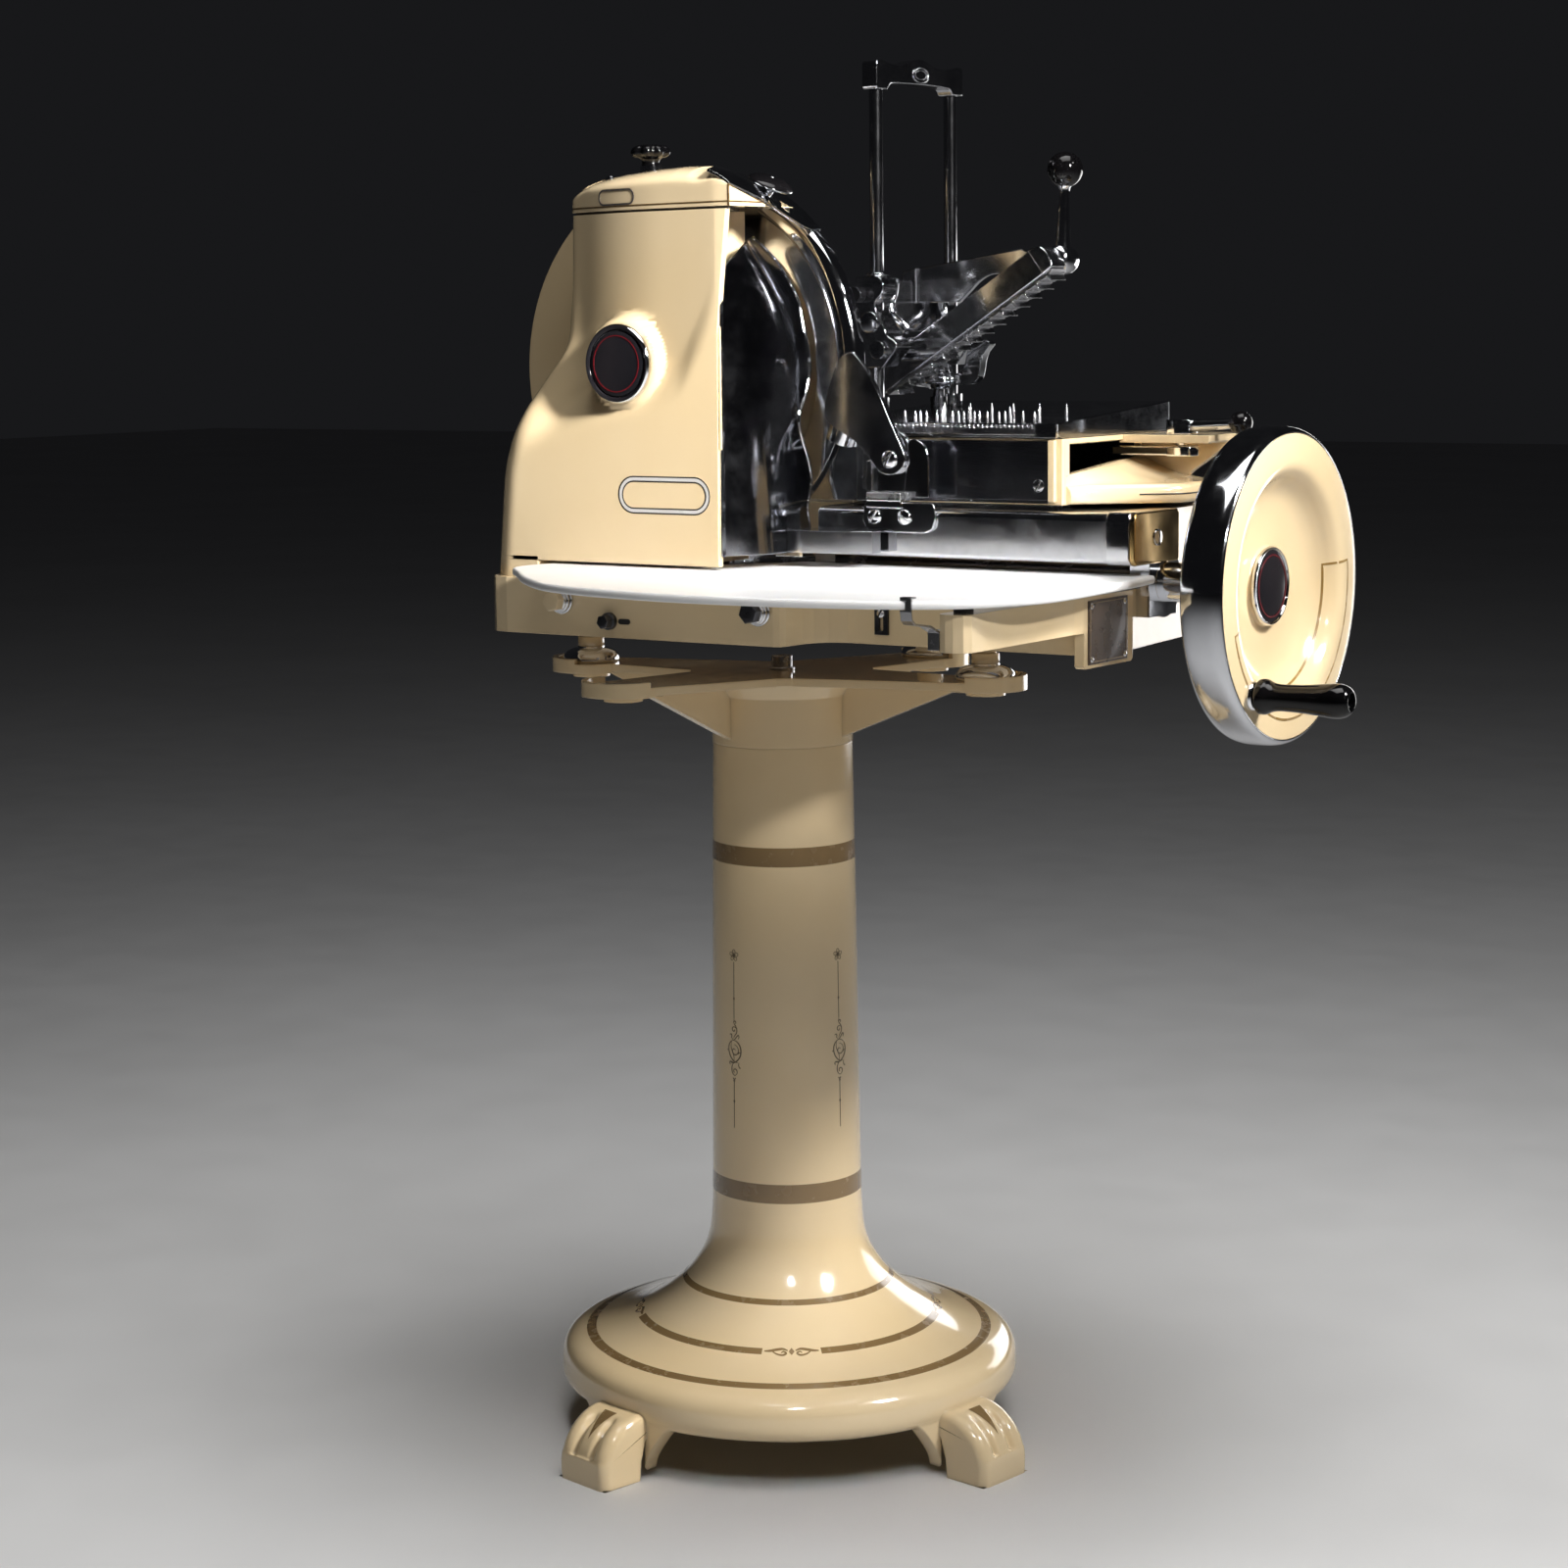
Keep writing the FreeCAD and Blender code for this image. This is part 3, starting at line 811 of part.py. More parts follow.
print("arm boss", bx, bz, "crank", CY, CZ, "ball", tuple(ballc), "feet", carry)
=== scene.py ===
import math
import bpy
import bmesh
from mathutils import Matrix, Vector


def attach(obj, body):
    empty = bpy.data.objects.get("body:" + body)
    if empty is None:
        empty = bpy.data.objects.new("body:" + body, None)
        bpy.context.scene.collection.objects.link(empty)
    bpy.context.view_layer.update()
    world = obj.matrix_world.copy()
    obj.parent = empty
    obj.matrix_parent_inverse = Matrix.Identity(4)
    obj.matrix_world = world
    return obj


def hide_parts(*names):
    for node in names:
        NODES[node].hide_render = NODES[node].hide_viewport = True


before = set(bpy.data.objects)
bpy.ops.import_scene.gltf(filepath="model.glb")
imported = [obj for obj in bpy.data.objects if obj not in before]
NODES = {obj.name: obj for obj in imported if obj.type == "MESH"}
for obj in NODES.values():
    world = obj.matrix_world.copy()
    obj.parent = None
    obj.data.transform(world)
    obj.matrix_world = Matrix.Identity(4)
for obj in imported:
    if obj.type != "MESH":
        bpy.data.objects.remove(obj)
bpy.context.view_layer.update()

# All lengths below are in the machine's own millimetres: the pedestal's axis on the
# floor is (0, 0, 0), X runs to the flywheel, -Y is the operator's side, Z is up.
OX, OY = 186.15, -59.7
KX, KZ = -72.0, 1117.0
PED_YAW = 35.0


def M(x, y, z):
    return Vector(((x - OX) / 1000.0, (y - OY) / 1000.0, z / 1000.0))


# ------------------------------------------------------------------ materials
def new_mat(name):
    m = bpy.data.materials.new(name)
    m.use_nodes = True
    nt = m.node_tree
    b = nt.nodes["Principled BSDF"]
    return m, nt, b


def node(nt, kind, **kw):
    n = nt.nodes.new(kind)
    for k, v in kw.items():
        setattr(n, k, v)
    return n


def noise(nt, scale, detail=3.0, rough=0.55, stretch=None, seed=0.0):
    tc = node(nt, "ShaderNodeTexCoord")
    mp = node(nt, "ShaderNodeMapping")
    mp.inputs["Location"].default_value = (seed, seed * 0.7, seed * 1.3)
    if stretch:
        mp.inputs["Scale"].default_value = stretch
    n = node(nt, "ShaderNodeTexNoise")
    n.inputs["Scale"].default_value = scale
    n.inputs["Detail"].default_value = detail
    n.inputs["Roughness"].default_value = rough
    nt.links.new(tc.outputs["Object"], mp.inputs["Vector"])
    nt.links.new(mp.outputs["Vector"], n.inputs["Vector"])
    return n.outputs["Fac"]


def remap(nt, src, lo, hi, a=0.35, b=0.65):
    r = node(nt, "ShaderNodeMapRange")
    r.inputs["From Min"].default_value = a
    r.inputs["From Max"].default_value = b
    r.inputs["To Min"].default_value = lo
    r.inputs["To Max"].default_value = hi
    nt.links.new(src, r.inputs["Value"])
    return r.outputs["Result"]


def mixc(nt, fac, c1, c2):
    m = node(nt, "ShaderNodeMix", data_type="RGBA")
    for s, c in (("A", c1), ("B", c2)):
        sock = [i for i in m.inputs if i.name == s and i.type == "RGBA"][0]
        if isinstance(c, tuple):
            sock.default_value = c if len(c) == 4 else (c[0], c[1], c[2], 1)
        else:
            nt.links.new(c, sock)
    f = [i for i in m.inputs if i.name == "Factor" and i.type == "VALUE"][0]
    if isinstance(fac, float):
        f.default_value = fac
    else:
        nt.links.new(fac, f)
    return [o for o in m.outputs if o.type == "RGBA"][0]


def bumps(nt, b, layers, round_r=None):
    # layers are (height output, strength, distance in metres)
    prev = None
    if round_r:
        bv = node(nt, "ShaderNodeBevel", samples=4)
        bv.inputs["Radius"].default_value = round_r
        prev = bv.outputs["Normal"]
    for h, s, d in layers:
        bp = node(nt, "ShaderNodeBump")
        bp.inputs["Strength"].default_value = s
        bp.inputs["Distance"].default_value = d
        nt.links.new(h, bp.inputs["Height"])
        if prev is not None:
            nt.links.new(prev, bp.inputs["Normal"])
        prev = bp.outputs["Normal"]
    if prev is not None:
        nt.links.new(prev, b.inputs["Normal"])


def paint_corner_shade(nt, color, dist=0.012, dark=(0.30, 0.22, 0.12, 1), amount=0.55):
    # painted shade: an ambient-occlusion mask darkens the colour towards brown in the corners and creases of the
    # castings
    ao = node(nt, "ShaderNodeAmbientOcclusion", samples=6)
    ao.inputs["Distance"].default_value = dist
    f = remap(nt, ao.outputs["AO"], amount, 0.0, 0.15, 0.75)
    return mixc(nt, f, color, dark)


def enamel(name, c, c2, rough=(0.10, 0.19), coat=0.7, peel=0.05, round_r=0.0012, corner_shade_amount=0.45):
    m, nt, b = new_mat(name)
    big = noise(nt, 5.0, 3.0, 0.5, seed=3.1)
    fine = noise(nt, 60.0, 4.0, 0.6, seed=7.7)
    col = mixc(nt, remap(nt, big, 0.0, 1.0), c, c2)
    # painted shade darkens the enamel colour in the corners of the casting
    col = paint_corner_shade(nt, col, amount=corner_shade_amount)
    nt.links.new(col, b.inputs["Base Color"])
    nt.links.new(remap(nt, fine, rough[0], rough[1]), b.inputs["Roughness"])
    b.inputs["Coat Weight"].default_value = coat
    b.inputs["Coat Roughness"].default_value = 0.04
    b.inputs["IOR"].default_value = 1.5
    bumps(nt, b, [(noise(nt, 170.0, 2.0, 0.5, seed=1.0), peel, 0.0006), (noise(nt, 22.0, 2.0, 0.5, seed=2.0), peel * 0.6, 0.002)], round_r)
    return m


def metal(name, c, rough=(0.05, 0.12), c2=None, brush=None, wav=0.03, round_r=0.0010, scratch=0.02, spot=0.0):
    m, nt, b = new_mat(name)
    c2 = c2 or tuple(x * 0.9 for x in c)
    smear = noise(nt, 9.0, 4.0, 0.6, seed=5.0)
    col = mixc(nt, remap(nt, smear, 0.0, 1.0), c, c2)
    nt.links.new(col, b.inputs["Base Color"])
    b.inputs["Metallic"].default_value = 1.0
    nt.links.new(remap(nt, noise(nt, 35.0, 5.0, 0.65, seed=9.0), rough[0], rough[1]), b.inputs["Roughness"])
    layers = []
    if wav:
        layers.append((noise(nt, 14.0, 2.0, 0.5, seed=4.0), wav, 0.002))
    if scratch:
        layers.append((noise(nt, 260.0, 3.0, 0.7, stretch=brush or (1.0, 0.25, 1.0), seed=8.0), scratch, 0.0004))
    bumps(nt, b, layers, round_r)
    return m


CREAM = (0.805, 0.640, 0.405)
CREAM2 = (0.765, 0.592, 0.352)
mat_cream = enamel("cream_enamel", CREAM, CREAM2)
mat_cream_ped = enamel("cream_enamel_pedestal", CREAM, CREAM2, peel=0.07, round_r=0.0025)
mat_gold = enamel("gold_brown_line", (0.330, 0.205, 0.060), (0.250, 0.150, 0.045), rough=(0.2, 0.35), coat=0.5, round_r=None, corner_shade_amount=0.1)
mat_stripe = enamel("gold_brown_stripe", (0.255, 0.165, 0.072), (0.200, 0.128, 0.055), rough=(0.18, 0.3), coat=0.6, round_r=None, corner_shade_amount=0.1)
mat_dark_line = enamel("dark_line", (0.012, 0.010, 0.010), (0.018, 0.015, 0.014), rough=(0.3, 0.4), coat=0.1, round_r=None, corner_shade_amount=0.0)
mat_pin_line = enamel("pin_line", (0.120, 0.070, 0.026), (0.095, 0.056, 0.020), rough=(0.2, 0.35), coat=0.4, round_r=None, corner_shade_amount=0.0)
mat_badge_line = enamel("grey_line", (0.085, 0.075, 0.070), (0.110, 0.095, 0.085), rough=(0.2, 0.35), coat=0.4, round_r=None, corner_shade_amount=0.0)
mat_seam = enamel("seam_shadow", (0.060, 0.045, 0.028), (0.050, 0.038, 0.024), rough=(0.5, 0.7), coat=0.0, round_r=None, corner_shade_amount=0.0)
mat_chrome = metal("chrome", (0.80, 0.81, 0.84), rough=(0.03, 0.08))
mat_chrome_dark = metal("chrome_dark", (0.56, 0.565, 0.59), rough=(0.10, 0.15), wav=0.004, scratch=0.002)
mat_chrome_mid = metal("chrome_mid", (0.58, 0.59, 0.62), rough=(0.06, 0.12), wav=0.012, scratch=0.006)
mat_silver = metal("silver_band", (0.86, 0.86, 0.88), rough=(0.22, 0.34), wav=0.0)
mat_panel = metal("panel_polished", (0.46, 0.47, 0.52), rough=(0.10, 0.17), brush=(0.15, 1.0, 1.0), wav=0.03, scratch=0.05)
mat_table = metal("table_polished", (0.42, 0.43, 0.46), rough=(0.07, 0.15), wav=0.05, scratch=0.04)
mat_end_plate = metal("end_plate_lacquered", (0.50, 0.34, 0.14), rough=(0.10, 0.18), wav=0.15)
mat_silver_line = enamel("silver_line", (0.66, 0.65, 0.63), (0.60, 0.59, 0.57), rough=(0.25, 0.35), coat=0.3, round_r=None, corner_shade_amount=0.0)
mat_alu_dark = metal("polished_sheet", (0.30, 0.305, 0.33), rough=(0.07, 0.13), wav=0.03, scratch=0.03)
mat_chrome_soft = metal("chrome_soft", (0.74, 0.75, 0.78), rough=(0.07, 0.16), wav=0.05)
mat_alu = metal("polished_aluminium", (0.70, 0.71, 0.74), rough=(0.06, 0.15), wav=0.10, scratch=0.03)
mat_steel = metal("knife_steel", (0.62, 0.63, 0.66), rough=(0.10, 0.20), brush=(0.2, 1.0, 1.0), wav=0.02, scratch=0.05)
mat_machined = metal("machined_steel", (0.46, 0.46, 0.48), rough=(0.16, 0.30), scratch=0.08)
mat_dark_steel = metal("dark_steel", (0.10, 0.10, 0.11), rough=(0.20, 0.36), scratch=0.06)
mat_bronze = metal("bearing_bronze", (0.60, 0.40, 0.16), rough=(0.2, 0.35))


def plastic(name, c, c2, rough, coat=0.0, spec=0.5, bump=0.03, scale=240.0, sss=0.0, round_r=0.0008):
    m, nt, b = new_mat(name)
    col = mixc(nt, remap(nt, noise(nt, 12.0, 3.0, 0.5, seed=6.0), 0.0, 1.0), c, c2)
    nt.links.new(col, b.inputs["Base Color"])
    nt.links.new(remap(nt, noise(nt, 45.0, 4.0, 0.6, seed=2.5), rough[0], rough[1]), b.inputs["Roughness"])
    b.inputs["Specular IOR Level"].default_value = spec
    b.inputs["Coat Weight"].default_value = coat
    b.inputs["Coat Roughness"].default_value = 0.05
    if sss:
        b.inputs["Subsurface Weight"].default_value = sss
        b.inputs["Subsurface Radius"].default_value = (0.004, 0.003, 0.002)
    bumps(nt, b, [(noise(nt, scale, 3.0, 0.6, seed=1.5), bump, 0.0004)], round_r)
    return m


mat_tray = plastic("tray_white", (0.86, 0.86, 0.86), (0.83, 0.83, 0.83), (0.30, 0.38), bump=0.012, sss=0.05, round_r=0.0015)
mat_black = plastic("black_bakelite", (0.0016, 0.0016, 0.0019), (0.0042, 0.0038, 0.0042), (0.05, 0.09), coat=0.0, spec=0.3)
# painted shade: near-black colour for the shadow inside screw slots and slotted holes
mat_slot_shade = plastic("painted_slot_shade", (0.010, 0.010, 0.010), (0.016, 0.015, 0.014), (0.5, 0.7), round_r=None)
mat_rubber = plastic("dark_rubber", (0.02, 0.02, 0.02), (0.03, 0.03, 0.03), (0.45, 0.6))
mat_badge = plastic("badge_enamel", (0.008, 0.008, 0.010), (0.016, 0.014, 0.016), (0.05, 0.10), coat=0.0, spec=0.2, round_r=None)
mat_red = plastic("badge_red", (0.13, 0.008, 0.012), (0.10, 0.007, 0.010), (0.15, 0.25), coat=0.8, round_r=None)
mat_plate = plastic("plate_brown", (0.060, 0.034, 0.022), (0.045, 0.026, 0.018), (0.22, 0.34), coat=0.3)
mat_plate_line = plastic("plate_line", (0.30, 0.22, 0.12), (0.24, 0.17, 0.09), (0.25, 0.4), round_r=None)
mat_stone = plastic("grinding_stone", (0.32, 0.31, 0.29), (0.22, 0.21, 0.20), (0.75, 0.95), bump=0.5, scale=900.0)

BY_NODE = {
    "arm_hinge_pin": mat_chrome, "base_frame": mat_cream, "blank_plate": mat_plate, "carriage": mat_cream,
    "carriage_front_panel": mat_chrome, "clamp_post": mat_dark_steel, "crank_grip": mat_black, "crank_pin": mat_chrome,
    "cross_shaft": mat_machined, "deflector_foot": mat_chrome_dark, "drive_chain": mat_dark_steel, "feed_lever": mat_chrome,
    "feed_link": mat_chrome, "feed_screw": mat_machined, "flywheel_badge": mat_badge, "flywheel_bearing": mat_chrome_soft,
    "flywheel_rim": mat_chrome, "flywheel_shaft": mat_machined, "flywheel_web": mat_cream, "front_bolts": mat_chrome,
    "gauge_plate": mat_alu, "grinding_stone": mat_stone, "guard_bracket": mat_chrome, "guard_hood": mat_chrome,
    "guard_ring": mat_chrome, "hand_nut": mat_chrome, "hood_knob": mat_chrome, "housing_badge": mat_badge,
    "housing_cap": mat_cream, "knife_blade": mat_steel, "knife_bushes": mat_bronze, "knife_cover": mat_cream,
    "knife_housing": mat_cream, "knife_shaft": mat_machined, "machine_feet": mat_chrome, "meat_table": mat_alu,
    "pedestal_column": mat_cream_ped, "pedestal_head": mat_cream_ped, "press_arm": mat_chrome, "press_ball": mat_black,
    "press_lever": mat_chrome, "press_posts": mat_chrome_dark, "press_slide": mat_chrome, "press_top_bar": mat_chrome,
    "rail_end_cap": mat_cream, "rail_housing": mat_chrome_soft, "rear_rail": mat_machined, "receiving_tray": mat_tray,
    "shaft_blocks": mat_machined, "sharpener_carrier": mat_chrome_soft, "sharpener_knob": mat_black,
    "slice_deflector": mat_alu, "slide_lock_knob": mat_dark_steel, "slotted_screws": mat_chrome,
    "slotted_stop_plate": mat_dark_steel, "table_spikes": mat_machined, "tie_rod": mat_machined,
    "toothed_strip": mat_machined, "tray_clip": mat_machined, "tray_studs": mat_rubber,
}
for n, o in NODES.items():
    o.data.materials.clear()
    o.data.materials.append(BY_NODE[n])

# ------------------------------------------------------------------ mesh tools
class Sh:
    # collects the faces of one piece, in the machine's millimetres
    def __init__(self):
        self.v, self.f, self.k, self.mats = [], [], [], []

    def _m(self, m):
        if m not in self.mats:
            self.mats.append(m)
        return self.mats.index(m)

    def add(self, vs, fs, m):
        b = len(self.v)
        self.v += [tuple(p) for p in vs]
        for f in fs:
            self.f.append(tuple(b + i for i in f))
            self.k.append(self._m(m))

    def grid(self, rows, m, wrap=False, close=False, mf=None, ends=False):
        b, n, R = len(self.v), len(rows[0]), len(rows)
        for r in rows:
            self.v += [tuple(p) for p in r]
        for i in range(R if close else R - 1):
            for j in range(n if wrap else n - 1):
                i2, j2 = (i + 1) % R, (j + 1) % n
                self.f.append((b + i * n + j, b + i * n + j2, b + i2 * n + j2, b + i2 * n + j))
                self.k.append(self._m(mf(i, j) if mf else m))
        if ends:
            self.f.append(tuple(b + j for j in range(n)))
            self.f.append(tuple(b + (R - 1) * n + j for j in range(n - 1, -1, -1)))
            self.k += [self._m(m)] * 2

    def rev(self, prof, base, axis, m, n=96, mf=None, a0=0.0, a1=360.0, closed=False):
        # prof is (radius, position along the axis); a part turn gets end faces
        full = abs(a1 - a0) > 359.9
        rows = []
        steps = n if full else n + 1
        for i in range(steps):
            a = math.radians(a0 + (a1 - a0) * i / n)
            c, s = math.cos(a), math.sin(a)
            if axis == "z":
                rows.append([(base[0] + r * c, base[1] + r * s, h) for r, h in prof])
            elif axis == "x":
                rows.append([(h, base[0] + r * c, base[1] + r * s) for r, h in prof])
            else:
                rows.append([(base[0] + r * c, h, base[1] + r * s) for r, h in prof])
        self.grid(rows, m, wrap=closed, close=full, mf=(lambda i, j: mf(i, j)) if mf else None, ends=(closed and not full))

    def prism(self, poly, axis, a, b, m, m_end=None):
        n = len(poly)
        if axis == "z":
            lo, hi = [(x, y, a) for x, y in poly], [(x, y, b) for x, y in poly]
        elif axis == "y":
            lo, hi = [(x, a, y) for x, y in poly], [(x, b, y) for x, y in poly]
        else:
            lo, hi = [(a, x, y) for x, y in poly], [(b, x, y) for x, y in poly]
        self.add(lo + hi, [(i, (i + 1) % n, n + (i + 1) % n, n + i) for i in range(n)], m)
        self.add(lo + hi, [tuple(range(n)), tuple(range(2 * n - 1, n - 1, -1))], m_end or m)

    def box(self, x0, x1, y0, y1, z0, z1, m):
        self.prism([(x0, y0), (x1, y0), (x1, y1), (x0, y1)], "z", z0, z1, m)

    def tube(self, path, r, m, n=14, caps=True):
        P = [Vector(p) for p in path]
        rows = []
        T = (P[1] - P[0]).normalized()
        U = T.orthogonal().normalized()
        for i, p in enumerate(P):
            a, c = P[max(i - 1, 0)], P[min(i + 1, len(P) - 1)]
            T2 = (c - a).normalized()
            U = (U - T2 * U.dot(T2)).normalized()
            W = T2.cross(U)
            rr = r[i] if isinstance(r, (list, tuple)) else r
            rows.append([p + (U * math.cos(2 * math.pi * k / n) + W * math.sin(2 * math.pi * k / n)) * rr for k in range(n)])
        self.grid(rows, m, wrap=True, ends=caps)

    def ball(self, c, r, m, n=40, sz=None):
        sz = sz or (r, r, r)
        rows = []
        for i in range(n // 2 + 1):
            t = math.pi * i / (n // 2)
            rows.append([(c[0] + sz[0] * math.sin(t) * math.cos(2 * math.pi * j / n), c[1] + sz[1] * math.sin(t) * math.sin(2 * math.pi * j / n),
                          c[2] + sz[2] * math.cos(t)) for j in range(n)])
        self.grid(rows, m, wrap=True)

    def ribbon(self, pts, w, place, m, lift=0.22, sink=0.5, close=False):
        # a painted line: pts are (u, v), place(u, v) gives a surface point and its outward direction
        rows = []
        n = len(pts)
        for i in range(n):
            a = pts[(i - 1) % n] if close else pts[max(i - 1, 0)]
            b = pts[(i + 1) % n] if close else pts[min(i + 1, n - 1)]
            tx, ty = b[0] - a[0], b[1] - a[1]
            ln = math.hypot(tx, ty) or 1.0
            ww = w[i] if isinstance(w, (list, tuple)) else w
            sx, sy = -ty / ln * ww / 2, tx / ln * ww / 2
            ring = []
            for s, d in ((-1, -sink), (-1, lift), (1, lift), (1, -sink)):
                p, nn = place(pts[i][0] + s * sx, pts[i][1] + s * sy)
                ring.append(Vector(p) + Vector(nn) * d)
            rows.append(ring)
        self.grid(rows, m, wrap=True, close=close, ends=not close)

    def patch(self, poly, place, m, lift=0.22):
        # a small painted field: fan of triangles with a thin edge
        cu, cv = sum(p[0] for p in poly) / len(poly), sum(p[1] for p in poly) / len(poly)
        top, low = [], []
        for u, v in poly + [(cu, cv)]:
            p, nn = place(u, v)
            top.append(Vector(p) + Vector(nn) * lift)
            low.append(Vector(p) - Vector(nn) * 0.5)
        n = len(poly)
        self.add(top + low, [(i, (i + 1) % n, n) for i in range(n)] +
                 [(n + 1 + (i + 1) % n, n + 1 + i, 2 * n + 1) for i in range(n)] +
                 [((i + 1) % n, i, n + 1 + i, n + 1 + (i + 1) % n) for i in range(n)], m)


def put(name, sh, body, replaces=(), bevel=0.0, seg=2, angle=32.0, fix=True):
    me = bpy.data.meshes.new(name)
    me.from_pydata([tuple(M(*p)) for p in sh.v], [], sh.f)
    for m in sh.mats:
        me.materials.append(m)
    me.polygons.foreach_set("material_index", sh.k)
    bm = bmesh.new()
    bm.from_mesh(me)
    bmesh.ops.remove_doubles(bm, verts=bm.verts, dist=2e-6)
    bmesh.ops.dissolve_degenerate(bm, dist=1e-7, edges=bm.edges)
    if fix:
        bmesh.ops.recalc_face_normals(bm, faces=bm.faces)
    bm.to_mesh(me)
    bm.free()
    me.shade_smooth()
    o = bpy.data.objects.new(name, me)
    bpy.context.scene.collection.objects.link(o)
    if bevel:
        b = o.modifiers.new("edges", "BEVEL")
        b.width, b.segments, b.limit_method, b.angle_limit = bevel / 1000.0, seg, "ANGLE", math.radians(angle)
        b.miter_outer = "MITER_ARC"
        wn = o.modifiers.new("normals", "WEIGHTED_NORMAL")
        wn.keep_sharp = False
    else:
        me.set_sharp_from_angle(angle=math.radians(angle))
    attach(o, body)
    if replaces:
        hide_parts(*replaces)
    return o


def lerp(a, b, t):
    return a + (b - a) * t


def sstep(a, b, x):
    t = min(1.0, max(0.0, (x - a) / (b - a)))
    return t * t * (3 - 2 * t)


def table(pts, x):
    # straight interpolation in a table of (x, y) rows
    if x <= pts[0][0]:
        return pts[0][1]
    for (a, b), (c, d) in zip(pts, pts[1:]):
        if x <= c:
            return b + (d - b) * (x - a) / (c - a)
    return pts[-1][1]


def spline(pts, n=8, closed=False):
    out = []
    m = len(pts)
    for i in range(m if closed else m - 1):
        if closed:
            p0, p1, p2, p3 = pts[i - 1], pts[i], pts[(i + 1) % m], pts[(i + 2) % m]
        else:
            p0, p1, p2, p3 = pts[max(i - 1, 0)], pts[i], pts[i + 1], pts[min(i + 2, m - 1)]
        for k in range(n):
            t = k / float(n)
            out.append(tuple(0.5 * (2 * p1[j] + (p2[j] - p0[j]) * t + (2 * p0[j] - 5 * p1[j] + 4 * p2[j] - p3[j]) * t * t +
                                    (3 * p1[j] - p0[j] - 3 * p2[j] + p3[j]) * t ** 3) for j in range(len(p1))))
    if not closed:
        out.append(tuple(pts[-1]))
    return out


def smin(a, b, k):
    h = max(0.0, min(1.0, 0.5 + 0.5 * (b - a) / k))
    return b + (a - b) * h - k * h * (1 - h)


def stadium(cx, cz, hw, hh, n=14):
    # rounded-end outline
    out = []
    for s in (1, -1):
        for i in range(n + 1):
            a = -math.pi / 2 + math.pi * i / n
            out.append((cx + s * (hw - hh + hh * math.cos(a)), cz + s * hh * math.sin(a)))
        for i in range(1, 12):
            out.append((cx + s * (hw - hh) * (1 - i / 6.0), cz + s * hh))
    return out


def arc(cx, cy, r, a0, a1, n=16):
    return [(cx + r * math.cos(math.radians(lerp(a0, a1, i / n))), cy + r * math.sin(math.radians(lerp(a0, a1, i / n)))) for i in range(n + 1)]


# ------------------------------------------------------------------ pedestal column
BAND_Z = ((253.7, 273.9), (607.7, 627.5))
BAND_R = ((107.6, 112.2), (154.6, 162.2), (205.5, 215.5))
col_pts = [(73.0, 730.0), (75.6, 560.0), (77.4, 400.0), (79.0, 262.0), (79.7, 236.0), (81.6, 213.0), (84.8, 199.0), (89.5, 187.0),
           (95.5, 176.5), (102.5, 166.4), (110.3, 157.3), (121.0, 147.2), (137.0, 134.6), (158.0, 121.4), (180.0, 111.7),
           (205.5, 103.8), (215.5, 101.2), (228.0, 97.0), (236.5, 91.0), (241.0, 83.0), (242.5, 73.0), (242.4, 63.0), (239.0, 55.5), (231.0, 51.5)]
prof = spline(col_pts, 10)


def cut_profile(prof, k, val):
    for i in range(len(prof) - 1):
        a, b = prof[i][k], prof[i + 1][k]
        if (a - val) * (b - val) < 0:
            t = (val - a) / (b - a)
            prof.insert(i + 1, tuple(lerp(prof[i][j], prof[i + 1][j], t) for j in (0, 1)))
            return


for lo_, hi_ in BAND_Z:
    cut_profile(prof, 1, lo_)
    cut_profile(prof, 1, hi_)
for lo_, hi_ in BAND_R:
    cut_profile(prof, 0, lo_)
    cut_profile(prof, 0, hi_)
n_out = len(prof)
inner = [(226, 50.5), (226, 80), (222, 86), (200, 93), (150, 110), (124, 124), (98, 150), (80, 168), (70, 185), (66, 200), (66, 262), (62, 729.9)]
full_prof = prof + inner


def col_mat(i, j):
    if j >= n_out - 1:
        return mat_cream_ped
    r = (prof[j][0] + prof[j + 1][0]) / 2
    z = (prof[j][1] + prof[j + 1][1]) / 2
    if z > 230:
        return mat_stripe if any(a < z < b for a, b in BAND_Z) else mat_cream_ped
    if z > 98:
        if BAND_R[0][0] < r < BAND_R[0][1] or BAND_R[2][0] < r < BAND_R[2][1]:
            return mat_stripe
        if BAND_R[1][0] < r < BAND_R[1][1]:
            a = (i + 0.5) * 360.0 / 180 - (PED_YAW - 90.0)
            off = (a + 45.0) % 90.0 - 45.0
            return mat_cream_ped if abs(off) < 12.0 else mat_stripe
    return mat_cream_ped


col = Sh()
col.rev(full_prof, (0, 0), "z", mat_cream_ped, n=180, mf=col_mat, closed=True)


def r_col(z):
    return table([(51.5, 242.0), (262.0, 79.0), (400.0, 77.4), (560.0, 75.6), (730.0, 73.0)], z)


def on_column(ang):
    def place(u, z):
        a = math.radians(ang) + u / 77.0
        return (r_col(z) * math.cos(a), r_col(z) * math.sin(a), z), (math.cos(a), math.sin(a), 0.0)
    return place


def curl(cx, cz, r0, r1, a0, a1, n=22):
    return [(cx + lerp(r0, r1, i / n) * math.cos(math.radians(lerp(a0, a1, i / n))),
             cz + lerp(r0, r1, i / n) * math.sin(math.radians(lerp(a0, a1, i / n)))) for i in range(n + 1)]


def taper(n, w, tip=0.35):
    return [w * (tip + (1 - tip) * math.sin(math.pi * min(1.0, max(0.0, i / (n - 1.0))) ** 0.9)) for i in range(n)]


